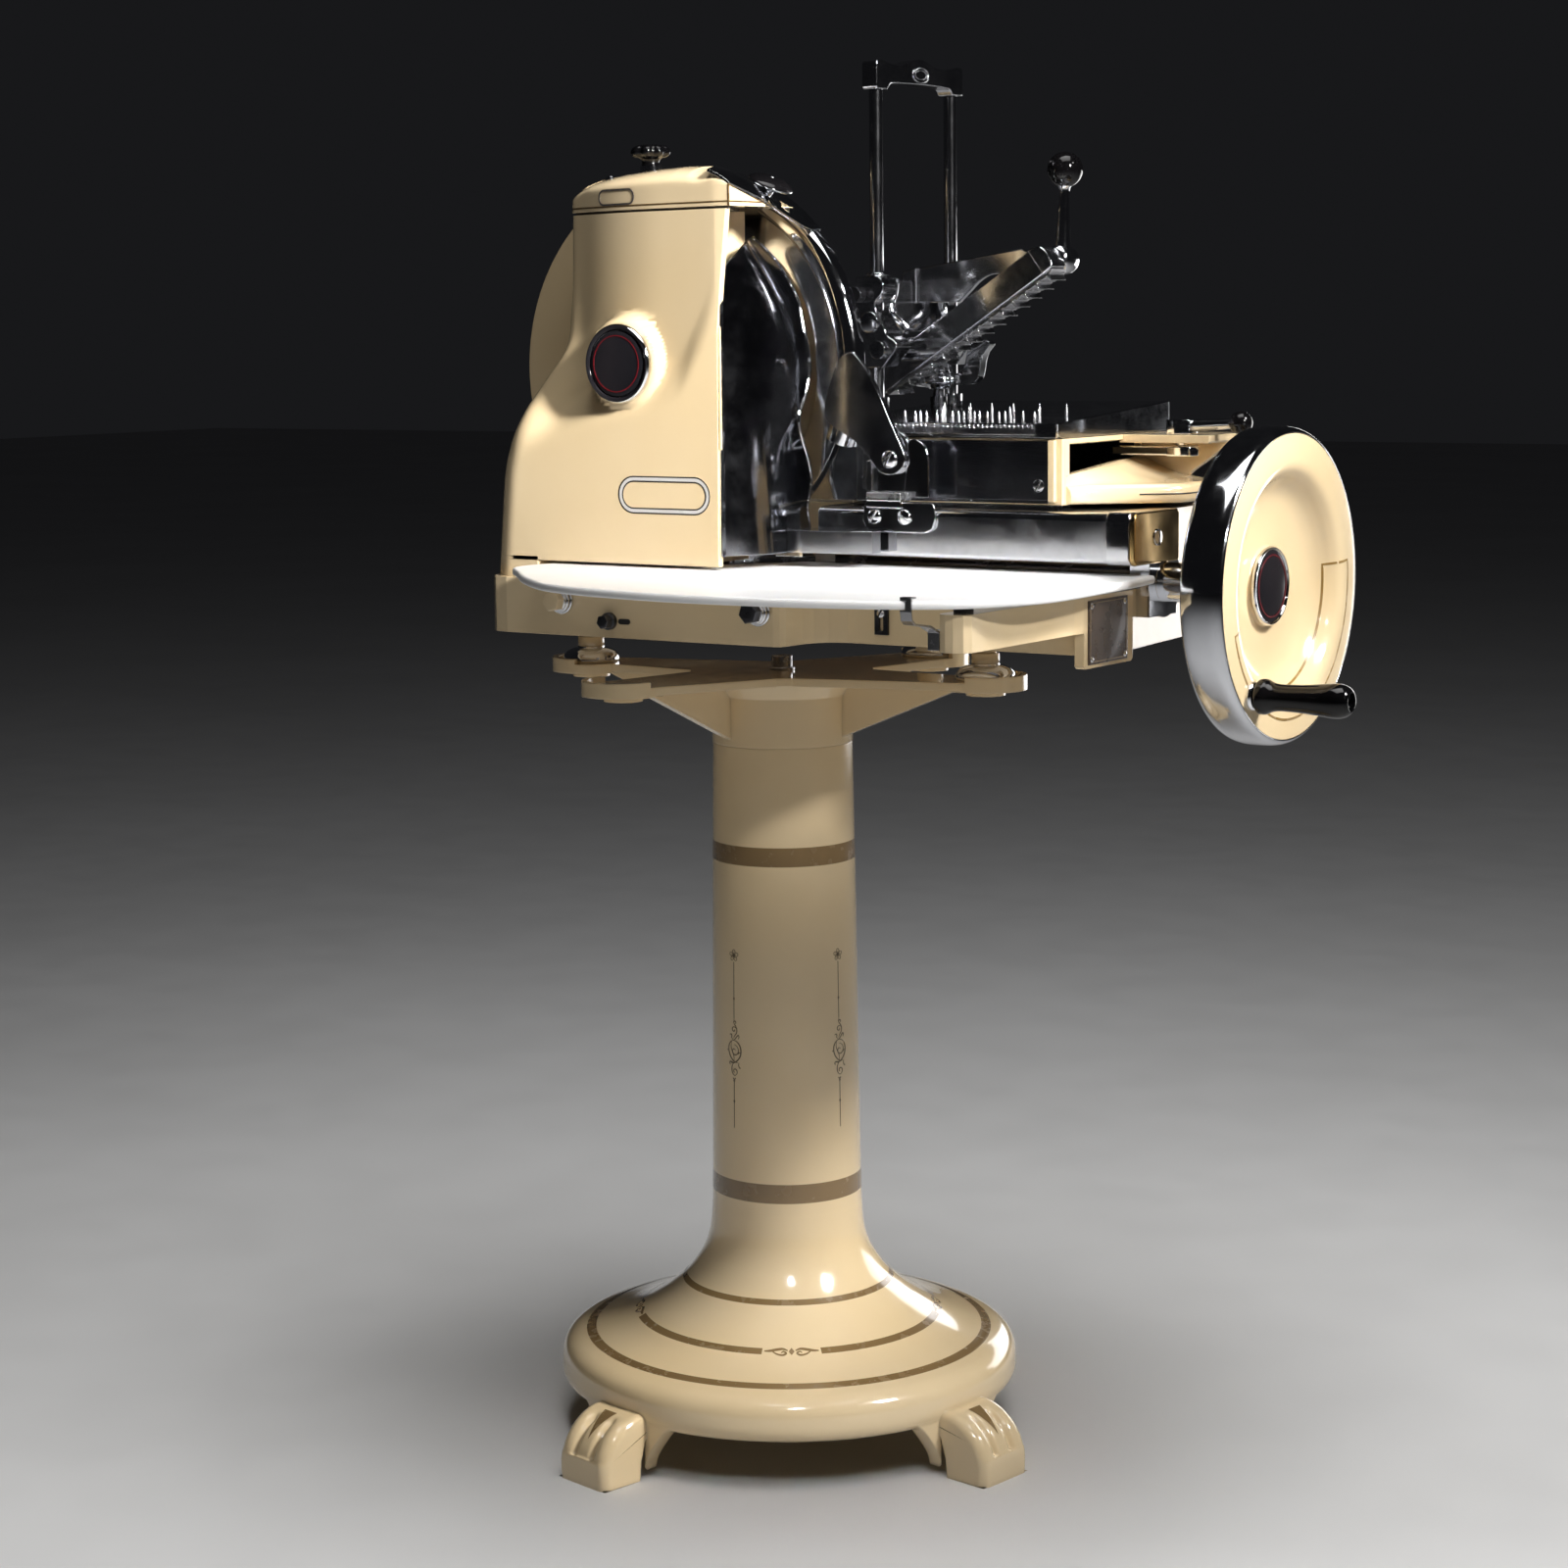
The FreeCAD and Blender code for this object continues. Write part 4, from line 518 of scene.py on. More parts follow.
def ornament(sh, ang, mir):
    place = on_column(ang)

    def line(pts, w, close=False, tp=True):
        q = [(mir * u, z) for u, z in pts]
        sh.ribbon(q, taper(len(q), w) if tp and not close else w, place, mat_line, close=close)

    # five-petalled flower
    for k in range(5):
        a = 90 + 72 * k
        cx, cz = 3.7 * math.cos(math.radians(a)), 512.3 + 3.7 * math.sin(math.radians(a))
        pet = []
        for i in range(16):
            t = 2 * math.pi * i / 16
            lu, lv = 2.5 * math.cos(t), 1.9 * math.sin(t)
            ca, sa = math.cos(math.radians(a)), math.sin(math.radians(a))
            pet.append((cx + lu * ca - lv * sa, cz + lu * sa + lv * ca))
        line(pet, 0.55, close=True)
        line([(0.6 * math.cos(math.radians(a)), 512.3 + 0.6 * math.sin(math.radians(a))), (3.4 * math.cos(math.radians(a)), 512.3 + 3.4 * math.sin(math.radians(a)))], 0.5, tp=False)
    sh.patch([(0.9 * math.cos(2 * math.pi * i / 10), 512.3 + 0.9 * math.sin(2 * math.pi * i / 10)) for i in range(10)], place, mat_line)
    # stem with a bead
    line([(0, z) for z in (505.4, 490, 470, 455, 446)], 0.75, tp=False)
    for z in (466.7, 358.0):
        sh.patch([(0, z - 2.6), (1.15, z), (0, z + 2.6), (-1.15, z)], place, mat_line)
    line([(0, z) for z in (379, 365, 350, 338, 330)], 0.75, tp=False)
    # scroll work
    line([(0.2, 446), (-0.4, 442.5)] + curl(1.2, 441.5, 1.9, 1.2, 180, -60, 12), 1.0)
    line(spline([(-0.4, 443), (0.2, 440.2), (2.2, 438), (3.9, 434.6), (3.4, 430.6), (0.8, 427.6), (-0.6, 424.6)], 5), 1.0)
    line(curl(-0.2, 434.0, 3.3, 1.1, 30, 380, 26), 1.0)
    line(curl(-5.2, 427.2, 1.2, 2.2, 150, -60, 12) + [(-2.6, 424.4), (-1.2, 422.2)], 1.05)
    line(spline([(-0.8, 423.0), (1.6, 424.4), (3.6, 426.8), (5.6, 428.6), (6.8, 427.0), (5.8, 424.6)], 5), 1.1)
    line(spline([(-1.4, 422.6), (-5.0, 420.6), (-7.6, 416.6), (-8.0, 411.4), (-6.2, 406.2), (-2.6, 402.0), (1.6, 399.6), (5.2, 399.8)], 6), 1.2)
    line(spline([(-1.0, 422.8), (3.6, 421.6), (7.4, 418.4), (9.2, 413.4), (8.6, 407.6), (5.4, 402.6), (0.6, 399.2), (-3.4, 398.6), (-5.6, 399.6)], 6), 1.3)
    line(curl(0.6, 411.6, 6.6, 1.0, 95, -330, 36), 1.0)
    line(spline([(-3.6, 421.8), (-4.6, 416.0), (-2.8, 410.6), (-0.4, 406.0), (-0.2, 400.4)], 6), 0.8)
    line([(-8.0, 411.6), (-9.6, 411.0), (-10.2, 412.0)], 0.9)
    line(curl(7.0, 408.8, 1.0, 2.0, 200, 20, 10), 0.9)
    line(curl(-5.2, 397.6, 1.0, 2.3, 250, 60, 12) + [(-1.8, 399.4), (0, 398.6)], 1.0)
    line(spline([(6.6, 399.8), (6.2, 396.4), (7.8, 394.0), (8.8, 394.6)], 5), 0.9)
    line(spline([(-0.6, 399.0), (-3.0, 395.2), (-3.4, 390.4), (-1.4, 386.6), (1.8, 385.2)], 6), 1.0)
    line(curl(0.9, 389.8, 4.0, 1.0, -90, 260, 26), 1.0)
    line([(-1.6, 382.6), (0.0, 380.6), (1.6, 382.6)], 1.1, tp=False)
    line([(-1.0, 380.2), (0.0, 378.4), (1.0, 380.2)], 0.9, tp=False)


mat_line = enamel("ornament_line", (0.115, 0.072, 0.022), (0.085, 0.052, 0.016), rough=(0.25, 0.4), coat=0.4, round_r=None, corner_shade_amount=0.0)
for k in range(4):
    ornament(col, PED_YAW - 90.0 + 45.0 + 90.0 * k, 1 if k % 2 else 1)


# plain scroll painted in each gap of the middle ring
def on_bell(ang):
    tab = [(prof[i][0], prof[i][1]) for i in range(n_out) if 100 < prof[i][0] < 225 and prof[i][1] > 90]

    def place(u, v):
        r = 158.0 - v
        z = table(tab, r)
        dz = (table(tab, r + 1) - table(tab, r - 1)) / 2.0
        a = math.radians(ang) + u / 158.0
        ln = math.hypot(dz, 1.0)
        return (r * math.cos(a), r * math.sin(a), z), (-dz / ln * math.cos(a), -dz / ln * math.sin(a), 1.0 / ln)
    return place


for k in range(4):
    pl = on_bell(PED_YAW - 90.0 + 90.0 * k)
    for s in (-1, 1):
        p = [(s * u, v) for u, v in [(28, 0), (22, 0.6), (15, 2.2), (9, 3.0), (4, 1.0)] ]
        p = spline(p, 5)
        col.ribbon(p, taper(len(p), 3.0), pl, mat_stripe)
        p = spline([(s * u, v) for u, v in [(20, 0.4), (15, -3.2), (9, -4.6), (5.6, -2.2), (8.2, 0.0), (10.6, -1.6)]], 5)
        col.ribbon(p, taper(len(p), 2.2), pl, mat_stripe)
    col.patch([(0, -4.2), (3.0, 0), (0, 4.2), (-3.0, 0)], pl, mat_stripe)

# paw feet
foot_line = spline([(224, 60), (234, 65.5), (244, 67.2), (254, 66.2), (264, 62.6), (274, 56.6), (283, 48.6), (289.5, 39.5), (293.5, 30.5),
                    (295.6, 22), (296, 12), (295.4, 0)], 5)
FW = 35.5
for fa in (46.5, -46.5, 226.5, 133.5):
    ang = math.radians(PED_YAW - 90.0 + fa)
    ca, sa = math.cos(ang), math.sin(ang)

    def loc(r, y, z):
        return (r * ca - y * sa, r * sa + y * ca, z)

    def foot_surf(i, y):
        a, b = foot_line[max(i - 1, 0)], foot_line[min(i + 1, len(foot_line) - 1)]
        tr, tz = b[0] - a[0], b[1] - a[1]
        ln = math.hypot(tr, tz)
        nr, nz = -tz / ln, tr / ln
        nr, nz = (nr, nz) if nr > 0 or nz > 0 else (-nr, -nz)
        r, z = foot_line[i]
        ay = abs(y)
        rho = 9.0
        e = rho - math.sqrt(max(0.0, rho ** 2 - max(0.0, ay - (FW - rho)) ** 2)) if ay > FW - rho else 0.0
        fade = sstep(258, 270, r) * sstep(27.0, 30.0, z)
        e += 4.6 * math.exp(-((ay - 12.5) / 3.4) ** 2) * fade
        e += 1.6 * math.exp(-((ay) / 5.0) ** 2) * fade * 0.0
        if z < 29.0 and r > 280:
            e -= 1.6 * sstep(29.0, 27.0, z) * sstep(FW, FW - 8, ay)
        e -= 1.5 * math.exp(-((ay - 24.0) / 6.0) ** 2) * fade
        return r - nr * e, y, z - nz * e

    ys = [-FW, -35.2, -34.4, -33, -31, -28.5, -26] + [-24 + 1.5 * k for k in range(33)] + [26, 28.5, 31, 33, 34.4, 35.2, FW]
    rows = [[loc(*foot_surf(i, y)) for y in ys] for i in range(len(foot_line))]
    col.grid(rows, mat_cream_ped)
    for s, j in ((-1, 0), (1, len(ys) - 1)):
        edge = [rows[i][j] for i in range(len(rows))]
        tail = [loc(248, s * FW, 0), loc(246, s * FW, 20), loc(240, s * FW, 40), loc(228, s * FW, 54)]
        pts = edge + tail
        col.add(pts, [tuple(range(len(pts))) if s > 0 else tuple(range(len(pts) - 1, -1, -1))], mat_cream_ped)
    back = [(248, 0), (246, 20), (240, 40), (228, 54), (224, 60)]
    col.grid([[loc(r, -FW, z), loc(r, FW, z)] for r, z in back], mat_cream_ped)
    col.add([loc(248, -FW, 0), loc(248, FW, 0), loc(295.4, FW, 0), loc(295.4, -FW, 0)], [(0, 1, 2, 3)], mat_cream_ped)
    # painted wedge on the instep
    tri = []
    for i in range(len(foot_line)):
        r = foot_line[i][0]
        if 254 <= r <= 286:
            w = 9.0 * (286 - r) / 32.0
            tri.append([foot_surf(i, -w), foot_surf(i, 0.0), foot_surf(i, w)])
    col.grid([[loc(p[0] + 0.25, p[1], p[2] + 0.3) for p in row] for row in tri], mat_stripe)
    # webs that run from the foot into the disc's edge
    wing = spline([(33, 8), (36, 19), (41, 28), (47, 37), (53, 45.5), (59, 52), (66, 56.3), (76, 57.2)], 4)
    for s in (-1, 1):
        rows = []
        for y, z in wing:
            ro, ri = math.sqrt(max(241.0 ** 2 - y * y, 0)), math.sqrt(226.0 ** 2 - y * y)
            rows.append([loc(ri, s * y, z), loc(ri, s * y, 61), loc(ro - 1.5, s * y, 61), loc(ro, s * y, 60), loc(ro, s * y, min(59.0, z + 3)), loc(ro - 3, s * y, z)])
        col.grid(rows, mat_cream_ped, wrap=True, ends=True)
put("pedestal_casting", col, "stand", ("pedestal_column",), angle=38)

# ------------------------------------------------------------------ knife housing
HZ1, CZ0 = 1274.0, 1276.4
LEFT = [(902.5, -251.1), (922.8, -249.3), (943.2, -247.4), (963.7, -245.5), (973.9, -244.6), (994.2, -242.8), (1004.5, -241.8), (1014.5, -240.3), (1024.7, -238), (1034.9, -234.6), (1045, -231), (1055.1, -226.5), (1065.1, -221.7), (1075, -217.1), (1085, -211.6), (1095, -204.7), (1104.9, -199), (1114.8, -192.8), (1124.8, -186.1), (1134.7, -180.6), (1144.7, -177), (1154.7, -175.1), (1174.6, -173.9), (1194.5, -172), (1234.3, -170.9), (1277, -170.2), (1330, -170.2)]
RIGHT = [(907, 44), (1153, 45.5), (1196, 49), (1225, 52), (1274, 57.5), (1330, 58)]
SHOULDER = [(-240, 1040), (-200, 1050), (-150, 1068), (-110, 1082), (-40, 1090), (0, 1110), (30, 1160), (44, 1190)]
BX, BZ = KX, 1124.5


def smooth_table(tab, x):
    # softened look-up in a table
    return (table(tab, x - 7) + table(tab, x - 3.5) + table(tab, x) + table(tab, x + 3.5) + table(tab, x + 7)) / 5.0


def x_left(z):
    return smooth_table(LEFT, z)


def y_front(x, z, boss=True):
    xl = x_left(z)
    k = sstep(1052, 1172, z)
    a, b = lerp(34, 140, k), lerp(34, 36, k)
    s = sstep(-22, 28, z - smooth_table(SHOULDER, x)) * (1 - sstep(-150, -225, x))
    y = -175.0 + s * min(25.0, 13.0 * max(0.0, 44 - x) / 99.0)
    t = (xl + a - x) / a
    if t > 0:
        y += b * (1 - math.sqrt(max(0.0, 1 - min(1.0, t) ** 2)))
    if boss:
        r = math.hypot(x - BX, z - BZ)
        if r < 80:
            yb = -176.6 + max(0.0, r - 41.0) ** 2 / 4.6
            y = smin(y, yb, 3.0)
    return y


def on_front(fun):
    def place(u, v):
        y = fun(u, v)
        dx = (fun(u + 0.5, v) - fun(u - 0.5, v))
        dz = (fun(u, v + 0.5) - fun(u, v - 0.5))
        n = Vector((dx, -1.0, dz)).normalized()
        return (u, y, v), n
    return place


hs = Sh()
N_SIDE, N_COR, N_FR = 4, 20, 64


def outer_row(z, boss=True, x_stop=None):
    xl, xr = x_left(z), table(RIGHT, z)
    if x_stop:
        xr = x_stop
    pts = []
    k = sstep(1052, 1172, z)
    a = lerp(34, 140, k)
    y_side = y_front(xl, z, boss)
    for i in range(N_SIDE):
        pts.append((xl, lerp(-66.0, y_side, i / N_SIDE)))
    for i in range(N_COR):
        t = math.radians(90.0 * i / N_COR)
        x = xl + a * (1 - math.cos(t))
        pts.append((x, y_front(x, z, boss)))
    x0 = xl + a
    for i in range(N_FR + 1):
        x = lerp(x0, xr, i / N_FR)
        pts.append((x, y_front(x, z, boss)))
    return pts


def shell_row(z, th=7.0):
    out = outer_row(z)
    flat = outer_row(z, boss=False)
    xr, yr = out[-1]
    ret = [(xr - 0.6, yr + 8.6), (5.0, yr + 9.0), (5.0, -66.0), (-2.0, -66.0), (-2.0, yr + 9.0)]
    inn = []
    for i in range(len(flat) - 1, -1, -3):
        p = flat[i]
        q0, q1 = flat[max(i - 1, 0)], flat[min(i + 1, len(flat) - 1)]
        tx, ty = q1[0] - q0[0], q1[1] - q0[1]
        ln = math.hypot(tx, ty) or 1.0
        x, y = p[0] - ty / ln * th, p[1] + tx / ln * th
        inn.append((min(x, -2.2), min(max(y, -166.0), -66.0)))
    return [(x, y, z) for x, y in out + ret + inn]


zs = [924.5, 927, 936, 946, 960] + [970 + 8 * i for i in range(9)] + [1040 + 3.5 * i for i in range(44)] + [1200, 1215, 1235, 1255, 1270, HZ1]
hs.grid([shell_row(z) for z in zs], mat_cream, wrap=True, ends=True)


# skirt at the left that stands on the deck
def skirt_row(z):
    pts = []
    for x, y in outer_row(z, boss=False):
        if x <= -179:
            pts.append((x, y, z))
    pts = pts[:40]
    return pts


sk = [skirt_row(z) for z in (906.9, 915, 928.5)]
m_ = min(len(r) for r in sk)
sk = [r[:m_] + [(-173, -150, r[0][2]), (-162, -118, r[0][2]), (-140, -100, r[0][2]), (-140, -66, r[0][2])] for r in sk]
hs.grid(sk, mat_cream, wrap=True, ends=True)
# bearing tube cast inside the front
hs.rev([(34, -168), (34, -96), (24.3, -96), (24.3, -164)], (KX, KZ), "y", mat_cream, n=48, closed=True)
place_h = on_front(lambda u, v: y_front(u, v))
for off, w, m in ((0.0, 1.35, mat_dark_line), (2.35, 3.2, mat_silver_line), (4.7, 1.35, mat_dark_line)):
    pts = stadium(-21.5, 994, 55.8 - off, 18.2 - off)
    hs.ribbon(pts, w, place_h, m, close=True, lift=0.25 if m is mat_dark_line else 0.2)
put("housing_casting", hs, "stand", ("knife_housing",), angle=40)

# ------------------------------------------------------------------ cap
HL = [(-150, 1287), (-148.6, 1291.5), (-146, 1296), (-141, 1300.5), (-136, 1303.5), (-127, 1307), (-118, 1309.4), (-90, 1313.6), (-50, 1316.8),
      (-16, 1318.2), (6, 1317.4)]
HF = [(6, 1317.4), (20, 1315.4), (32, 1312.4), (44, 1307.8), (54, 1303.2), (60, 1299.5), (62, 1297.8)]
HB = [(6, 1315.6), (20, 1311.2), (34, 1305.4), (45, 1300.0), (54, 1291.0), (60, 1283.5), (62, 1280.6)]


def cap_h(x, y):
    if x <= 6:
        return table(HL, x)
    t = min(1.0, max(0.0, (y + 175) / 63.0))
    return lerp(table(HF, x), table(HB, x), t)


def cx(x):
    # the tables of the cap are drawn for a left end at -150
    return x - 23.0 * (1 - sstep(-150, -20, x))


def ux(u):
    lo, hi = -152.0, 70.0
    for _ in range(30):
        mid = (lo + hi) / 2
        if cx(mid) < u:
            lo = mid
        else:
            hi = mid
    return (lo + hi) / 2


def cap_front(x, z=HZ1):
    # the cap's front follows the tower below it
    return y_front(min(x, 58.0), HZ1, boss=False) - (0.4 if x > -172 else 0.0) - (0.5 * max(0.0, x - 44) / 18.0)


DH = 46.0


def cap_z(x, d, y):
    h = cap_h(x, y)
    right = sstep(20, 60, x)
    hw = CZ0 + max(4.0, (h - CZ0) * lerp(0.56, 0.92, right))
    dh = lerp(DH, 16.0, right)
    if d >= dh:
        return h
    return hw + (h - hw) * math.sqrt(max(0.0, 1 - (1 - d / dh) ** 2))


cp = Sh()
xs_ = [-150, -149.6, -149, -148, -146.5, -144.5, -142, -139, -135, -130, -124] + [-118 + 3 * i for i in range(42)] + [6, 9, 12, 18, 24, 30, 36, 41, 46, 50, 54, 57, 59.5, 61, 61.8]
rows = []
for x in xs_:
    X = cx(x)
    yf = cap_front(max(X, cx(-149.3)))
    if x <= -149.3:
        yf = -116.0
    r = [(X, yf, CZ0)]
    for k in range(6):
        r.append((X, yf, lerp(CZ0, cap_z(x, 0.0, yf), (k + 1) / 6.0)))
    for k in range(1, 15):
        d = DH * (1 - math.cos(math.radians(90.0 * k / 14)))
        y = min(yf + d, -112.0)
        r.append((X, y, cap_z(x, y - yf, y)))
    r.append((X, -112.0, cap_h(x, -112.0)))
    hb = table([(-150, 1287), (-146, 1296), (-136, 1303.5), (-118, 1309.4), (-90, 1313.4), (-50, 1316.2), (-16, 1316.0), (-8, 1311), (4, 1305.5), (29, 1293.5), (50, 1283), (62, 1277)], x)
    hb = min(hb, cap_h(x, -112.0))
    r += [(X, -112.0, hb), (X, -90.0, hb), (X, -68.0, hb), (X, -62.5, max(CZ0, hb - 2.0)), (X, -60.0, max(CZ0, hb - 7.0)), (X, -60.0, CZ0)]
    rows.append(r)
cp.grid(rows, mat_cream, wrap=True, ends=True)
# ledge inside the seam
seam = []
for x, y in outer_row(HZ1, boss=False):
    seam.append((max(x + 2.4, -170.2), y + 2.4))
seam += [(-2, -66), (-170.2, -66)]
cp.prism(seam, "z", HZ1 - 0.3, CZ0 + 1.0, mat_seam)
place_c = on_front(lambda u, v: cap_front(u) + max(0.0, (v - 1293.0)) * 0.0)


def cap_place(u, v):
    # point on the cap's front and its rounding
    yf = cap_front(u)
    xx = ux(u)
    d, z = 0.0, cap_z(xx, 0.0, yf)
    if v > z:
        for k in range(1, 40):
            dn = k * 1.2
            zn = cap_z(xx, dn, yf + dn)
            if zn >= v:
                t = (v - z) / max(1e-6, zn - z)
                d = lerp(d, dn, t)
                break
            d, z = dn, zn
    return (u, yf + d, v)


def on_cap(u, v):
    p = Vector(cap_place(u, v))
    a = Vector(cap_place(u + 0.6, v)) - Vector(cap_place(u - 0.6, v))
    b = Vector(cap_place(u, v + 0.6)) - Vector(cap_place(u, v - 0.6))
    n = a.cross(b).normalized()
    return p, n if n.y < 0 else -n


pts = [(lerp(-171.2, 61.6, i / 90.0), 1280.6) for i in range(91)]
cp.ribbon(pts, 1.15, on_cap, mat_pin_line)
cp.box(61.2, 62.1, cap_front(61.8) + 0.2, -118.0, 1280.05, 1281.2, mat_pin_line)
cp.box(60.6, 62.25, cap_front(61.8) - 0.25, cap_front(61.8) + 1.1, CZ0 + 0.3, 1297.2, mat_pin_line)
cp.prism([(cap_front(61.8) + 0.4, 1297.6), (-113.0, 1280.4), (-113.0, 1279.0), (cap_front(61.8) + 0.4, 1296.2)], "x", 61.0, 62.2, mat_pin_line)
for off, w in ((0.0, 1.5),):
    cp.ribbon(stadium(-91, 1289.6, 26.7, 7.2), w, on_cap, mat_badge_line, close=True, lift=0.45)
put("cap_casting", cp, "stand", ("housing_cap",), angle=36)

# ------------------------------------------------------------------ badge on the swelling
bd = Sh()
bd.rev([(0, -174.0), (30, -174.0), (33.2, -175.6), (33.2, -180.6), (32.2, -182.6), (29.6, -183.5), (28.4, -183.5), (28.35, -183.8), (27.35, -183.8), (27.3, -183.3),
        (22, -183.5), (12, -183.8), (0, -183.9)], (BX, BZ), "y", mat_badge, n=96, mf=lambda i, j: mat_red if j in (6, 7, 8) else mat_badge)
bd.rev([(33.4, -175), (33.4, -181.5), (34.8, -183.3), (37.2, -184.0), (38.0, -183.4), (39.2, -182.0), (39.8, -180.3), (39.9, -175.2)], (BX, BZ), "y", mat_chrome, n=96,
       mf=lambda i, j: mat_badge if j in (1, 2, 3) else mat_chrome, closed=True)
put("badge_disc", bd, "stand", ("housing_badge",), angle=40)

# ------------------------------------------------------------------ flywheel
FX = 500.0
fw_face = spline([(14.0, 551.0), (33.0, 551.2), (36.4, 549.4), (40, 548.0), (60, 547.6), (74, 548.9), (84, 551.4), (92, 555.8), (98.6, 562.0), (104, 568.6),
                  (109, 573.4), (114, 575.6), (120, 576.3), (128, 576.2), (138, 575.8), (143.3, 575.4)], 6)
fw_back = [(143.3, 541), (124, 540.5), (60, 539), (40, 538), (34, 530), (14, 530)]
web = Sh()
web.rev(fw_face + fw_back, (0, 912), "x", mat_cream, n=160, closed=True)
tabf = sorted((r, x) for r, x in fw_face)


def on_web(u, v):
    # u is degrees round the axis, v the radius
    x = table(tabf, v)
    dx = (table(tabf, v + 0.6) - table(tabf, v - 0.6)) / 1.2
    a = math.radians(u)
    n = Vector((1.0, -dx * math.cos(a), -dx * math.sin(a))).normalized()
    return (x, v * math.cos(a), 912 + v * math.sin(a)), n


def polar_ribbon(sh, path, w, mat):
    # path in (degrees, radius); the width is kept in millimetres
    rows = []
    n = len(path)
    for i in range(n):
        a, b = path[(i - 1) % n], path[(i + 1) % n]
        t = Vector(on_web(*b)[0]) - Vector(on_web(*a)[0])
        p, nn = on_web(*path[i])
        s = t.cross(nn).normalized() * (w / 2)
        p = Vector(p)
        rows.append([p - s - nn * 0.5, p - s + nn * 0.22, p + s + nn * 0.22, p + s - nn * 0.5])
    sh.grid(rows, mat, wrap=True, close=True)


A0, A1, RI, RO = -163.0, 8.0, 98.5, 124.5
path = [(lerp(A0, A1, i / 70.0), RI) for i in range(71)] + [(A1, lerp(RI, RO, i / 6.0)) for i in range(1, 6)] + \
       [(lerp(A1, A0, i / 70.0), RO) for i in range(71)] + [(A0, lerp(RO, RI, i / 6.0)) for i in range(1, 6)]
polar_ribbon(web, path, 2.3, mat_gold)
# centre of the crank pin, in the rim's inner ring
CY, CZ = -125 * math.cos(math.radians(49)), 912 - 125 * math.sin(math.radians(49))
put("flywheel_casting", web, "flywheel", ("flywheel_web",), angle=38)
rm = Sh()
rm.rev(spline([(143.9, 575.6), (146.0, 574.6), (148.2, 571.0), (149.6, 565.0), (150.0, 555.0), (149.9, 546.0), (148.8, 539.0), (146.4, 534.6), (142.6, 532.6), (136, 531.6), (128, 531.0), (124, 531.2)], 4) +
       [(124, 540), (143.9, 540)], (0, 912), "x", mat_chrome_mid, n=160, closed=True)
put("flywheel_rim_chrome", rm, "flywheel", ("flywheel_rim",), angle=40)
fb = Sh()
fb.rev([(0, 551.0), (33, 551.0), (36.3, 551.5), (37.6, 553.2), (37.4, 555.4), (36.2, 556.6), (34.8, 556.4), (34.2, 555.2), (31.4, 555.9), (29.9, 556.0), (29.85, 556.5), (28.5, 556.5),
        (28.45, 556.0), (20, 556.7), (10, 557.2), (0, 557.4)], (0, 912), "x", mat_badge, n=96,
       mf=lambda i, j: mat_chrome if j in (1, 2, 3, 4, 5, 6) else (mat_red if j in (9, 10, 11) else mat_badge))
put("flywheel_disc", fb, "flywheel", ("flywheel_badge",), angle=40)
pn = Sh()
pn.rev([(6, 546), (6, 574), (13, 574), (13.6, 575), (13.6, 578.6), (12.4, 580.4), (8.6, 581.6), (6.0, 582), (6, 664.3), (8, 664.3), (8, 667), (7, 668), (0, 668)], (CY, CZ), "x", mat_chrome, n=48)
pn.rev([(0, 546), (6, 546)], (CY, CZ), "x", mat_chrome, n=48)
put("crank_pin_turned", pn, "flywheel", ("crank_pin",), angle=34)
gr = Sh()
gp_ = spline([(9.0, 582.4), (13.4, 582.6), (15.9, 584.2), (16.6, 587.6), (16.2, 591.2), (14.2, 595.6), (12.9, 601), (12.5, 609), (12.9, 622), (13.9, 636), (15.2, 648), (16.0, 657), (15.5, 664.6), (13.4, 670.2), (10.4, 673.4), (8.5, 674.0)], 5)
gr.rev(gp_ + [(8.4, 668), (8.4, 664.4), (6.15, 664.4), (6.15, 582.4)], (CY, CZ), "x", mat_black, n=64, closed=True)
put("crank_grip_turned", gr, "grip", ("crank_grip",), angle=40)

# ------------------------------------------------------------------ deflector
LV = [(935, 68, 92, 0), (947, 69.4, 91, 0), (959, 69.4, 89.6, 0), (978, 66.6, 87, 0), (992, 69.4, 85.4, 0), (1006, 71.8, 84, 0), (1023, 69, 81, 0), (1040, 63, 78.4, 0), (1056, 58, 76, 0),
      (1070, 56.6, 74, 0), (1082, 61, 72.6, 0), (1093, 66.4, 71, 0), (1108, 70.2, 69.6, 0), (1123, 71.4, 68, 0), (1138, 69.4, 66, 0), (1152, 66, 64, 0), (1181, 60, 61, 0), (1196, 52.6, 59, 0), (1210, 43, 57, 0.0),
      (1222, 34, 56, 0.10), (1230, 26, 55, 0.24), (1240, 14, 52, 0.42), (1246.5, 3, 48.5, 0.60)]
lv = spline(LV, 4)
BASE_X = [(930, 75), (1130, 75), (1152, 71.5), (1181, 63.5), (1196, 56), (1210, 46.5), (1222, 37.5), (1230, 29.5), (1240, 17.5), (1250, 6)]
df = Sh()


def defl_raw(row, u):
    z, xs, cx_, u0 = row
    ao, co_, bo = (45.5, -166.5), (smooth_table([(930, 92), (1240, 56), (1250, 52)], z), -126.0), (smooth_table(BASE_X, z), -44.0)
    x = (1 - u) ** 2 * ao[0] + 2 * u * (1 - u) * co_[0] + u * u * bo[0]
    y = (1 - u) ** 2 * ao[1] + 2 * u * (1 - u) * co_[1] + u * u * bo[1]
    tx = 2 * (1 - u) * (co_[0] - ao[0]) + 2 * u * (bo[0] - co_[0])
    ty = 2 * (1 - u) * (co_[1] - ao[1]) + 2 * u * (bo[1] - co_[1])
    ln = math.hypot(tx, ty)
    return x, y, z, tx / ln, ty / ln


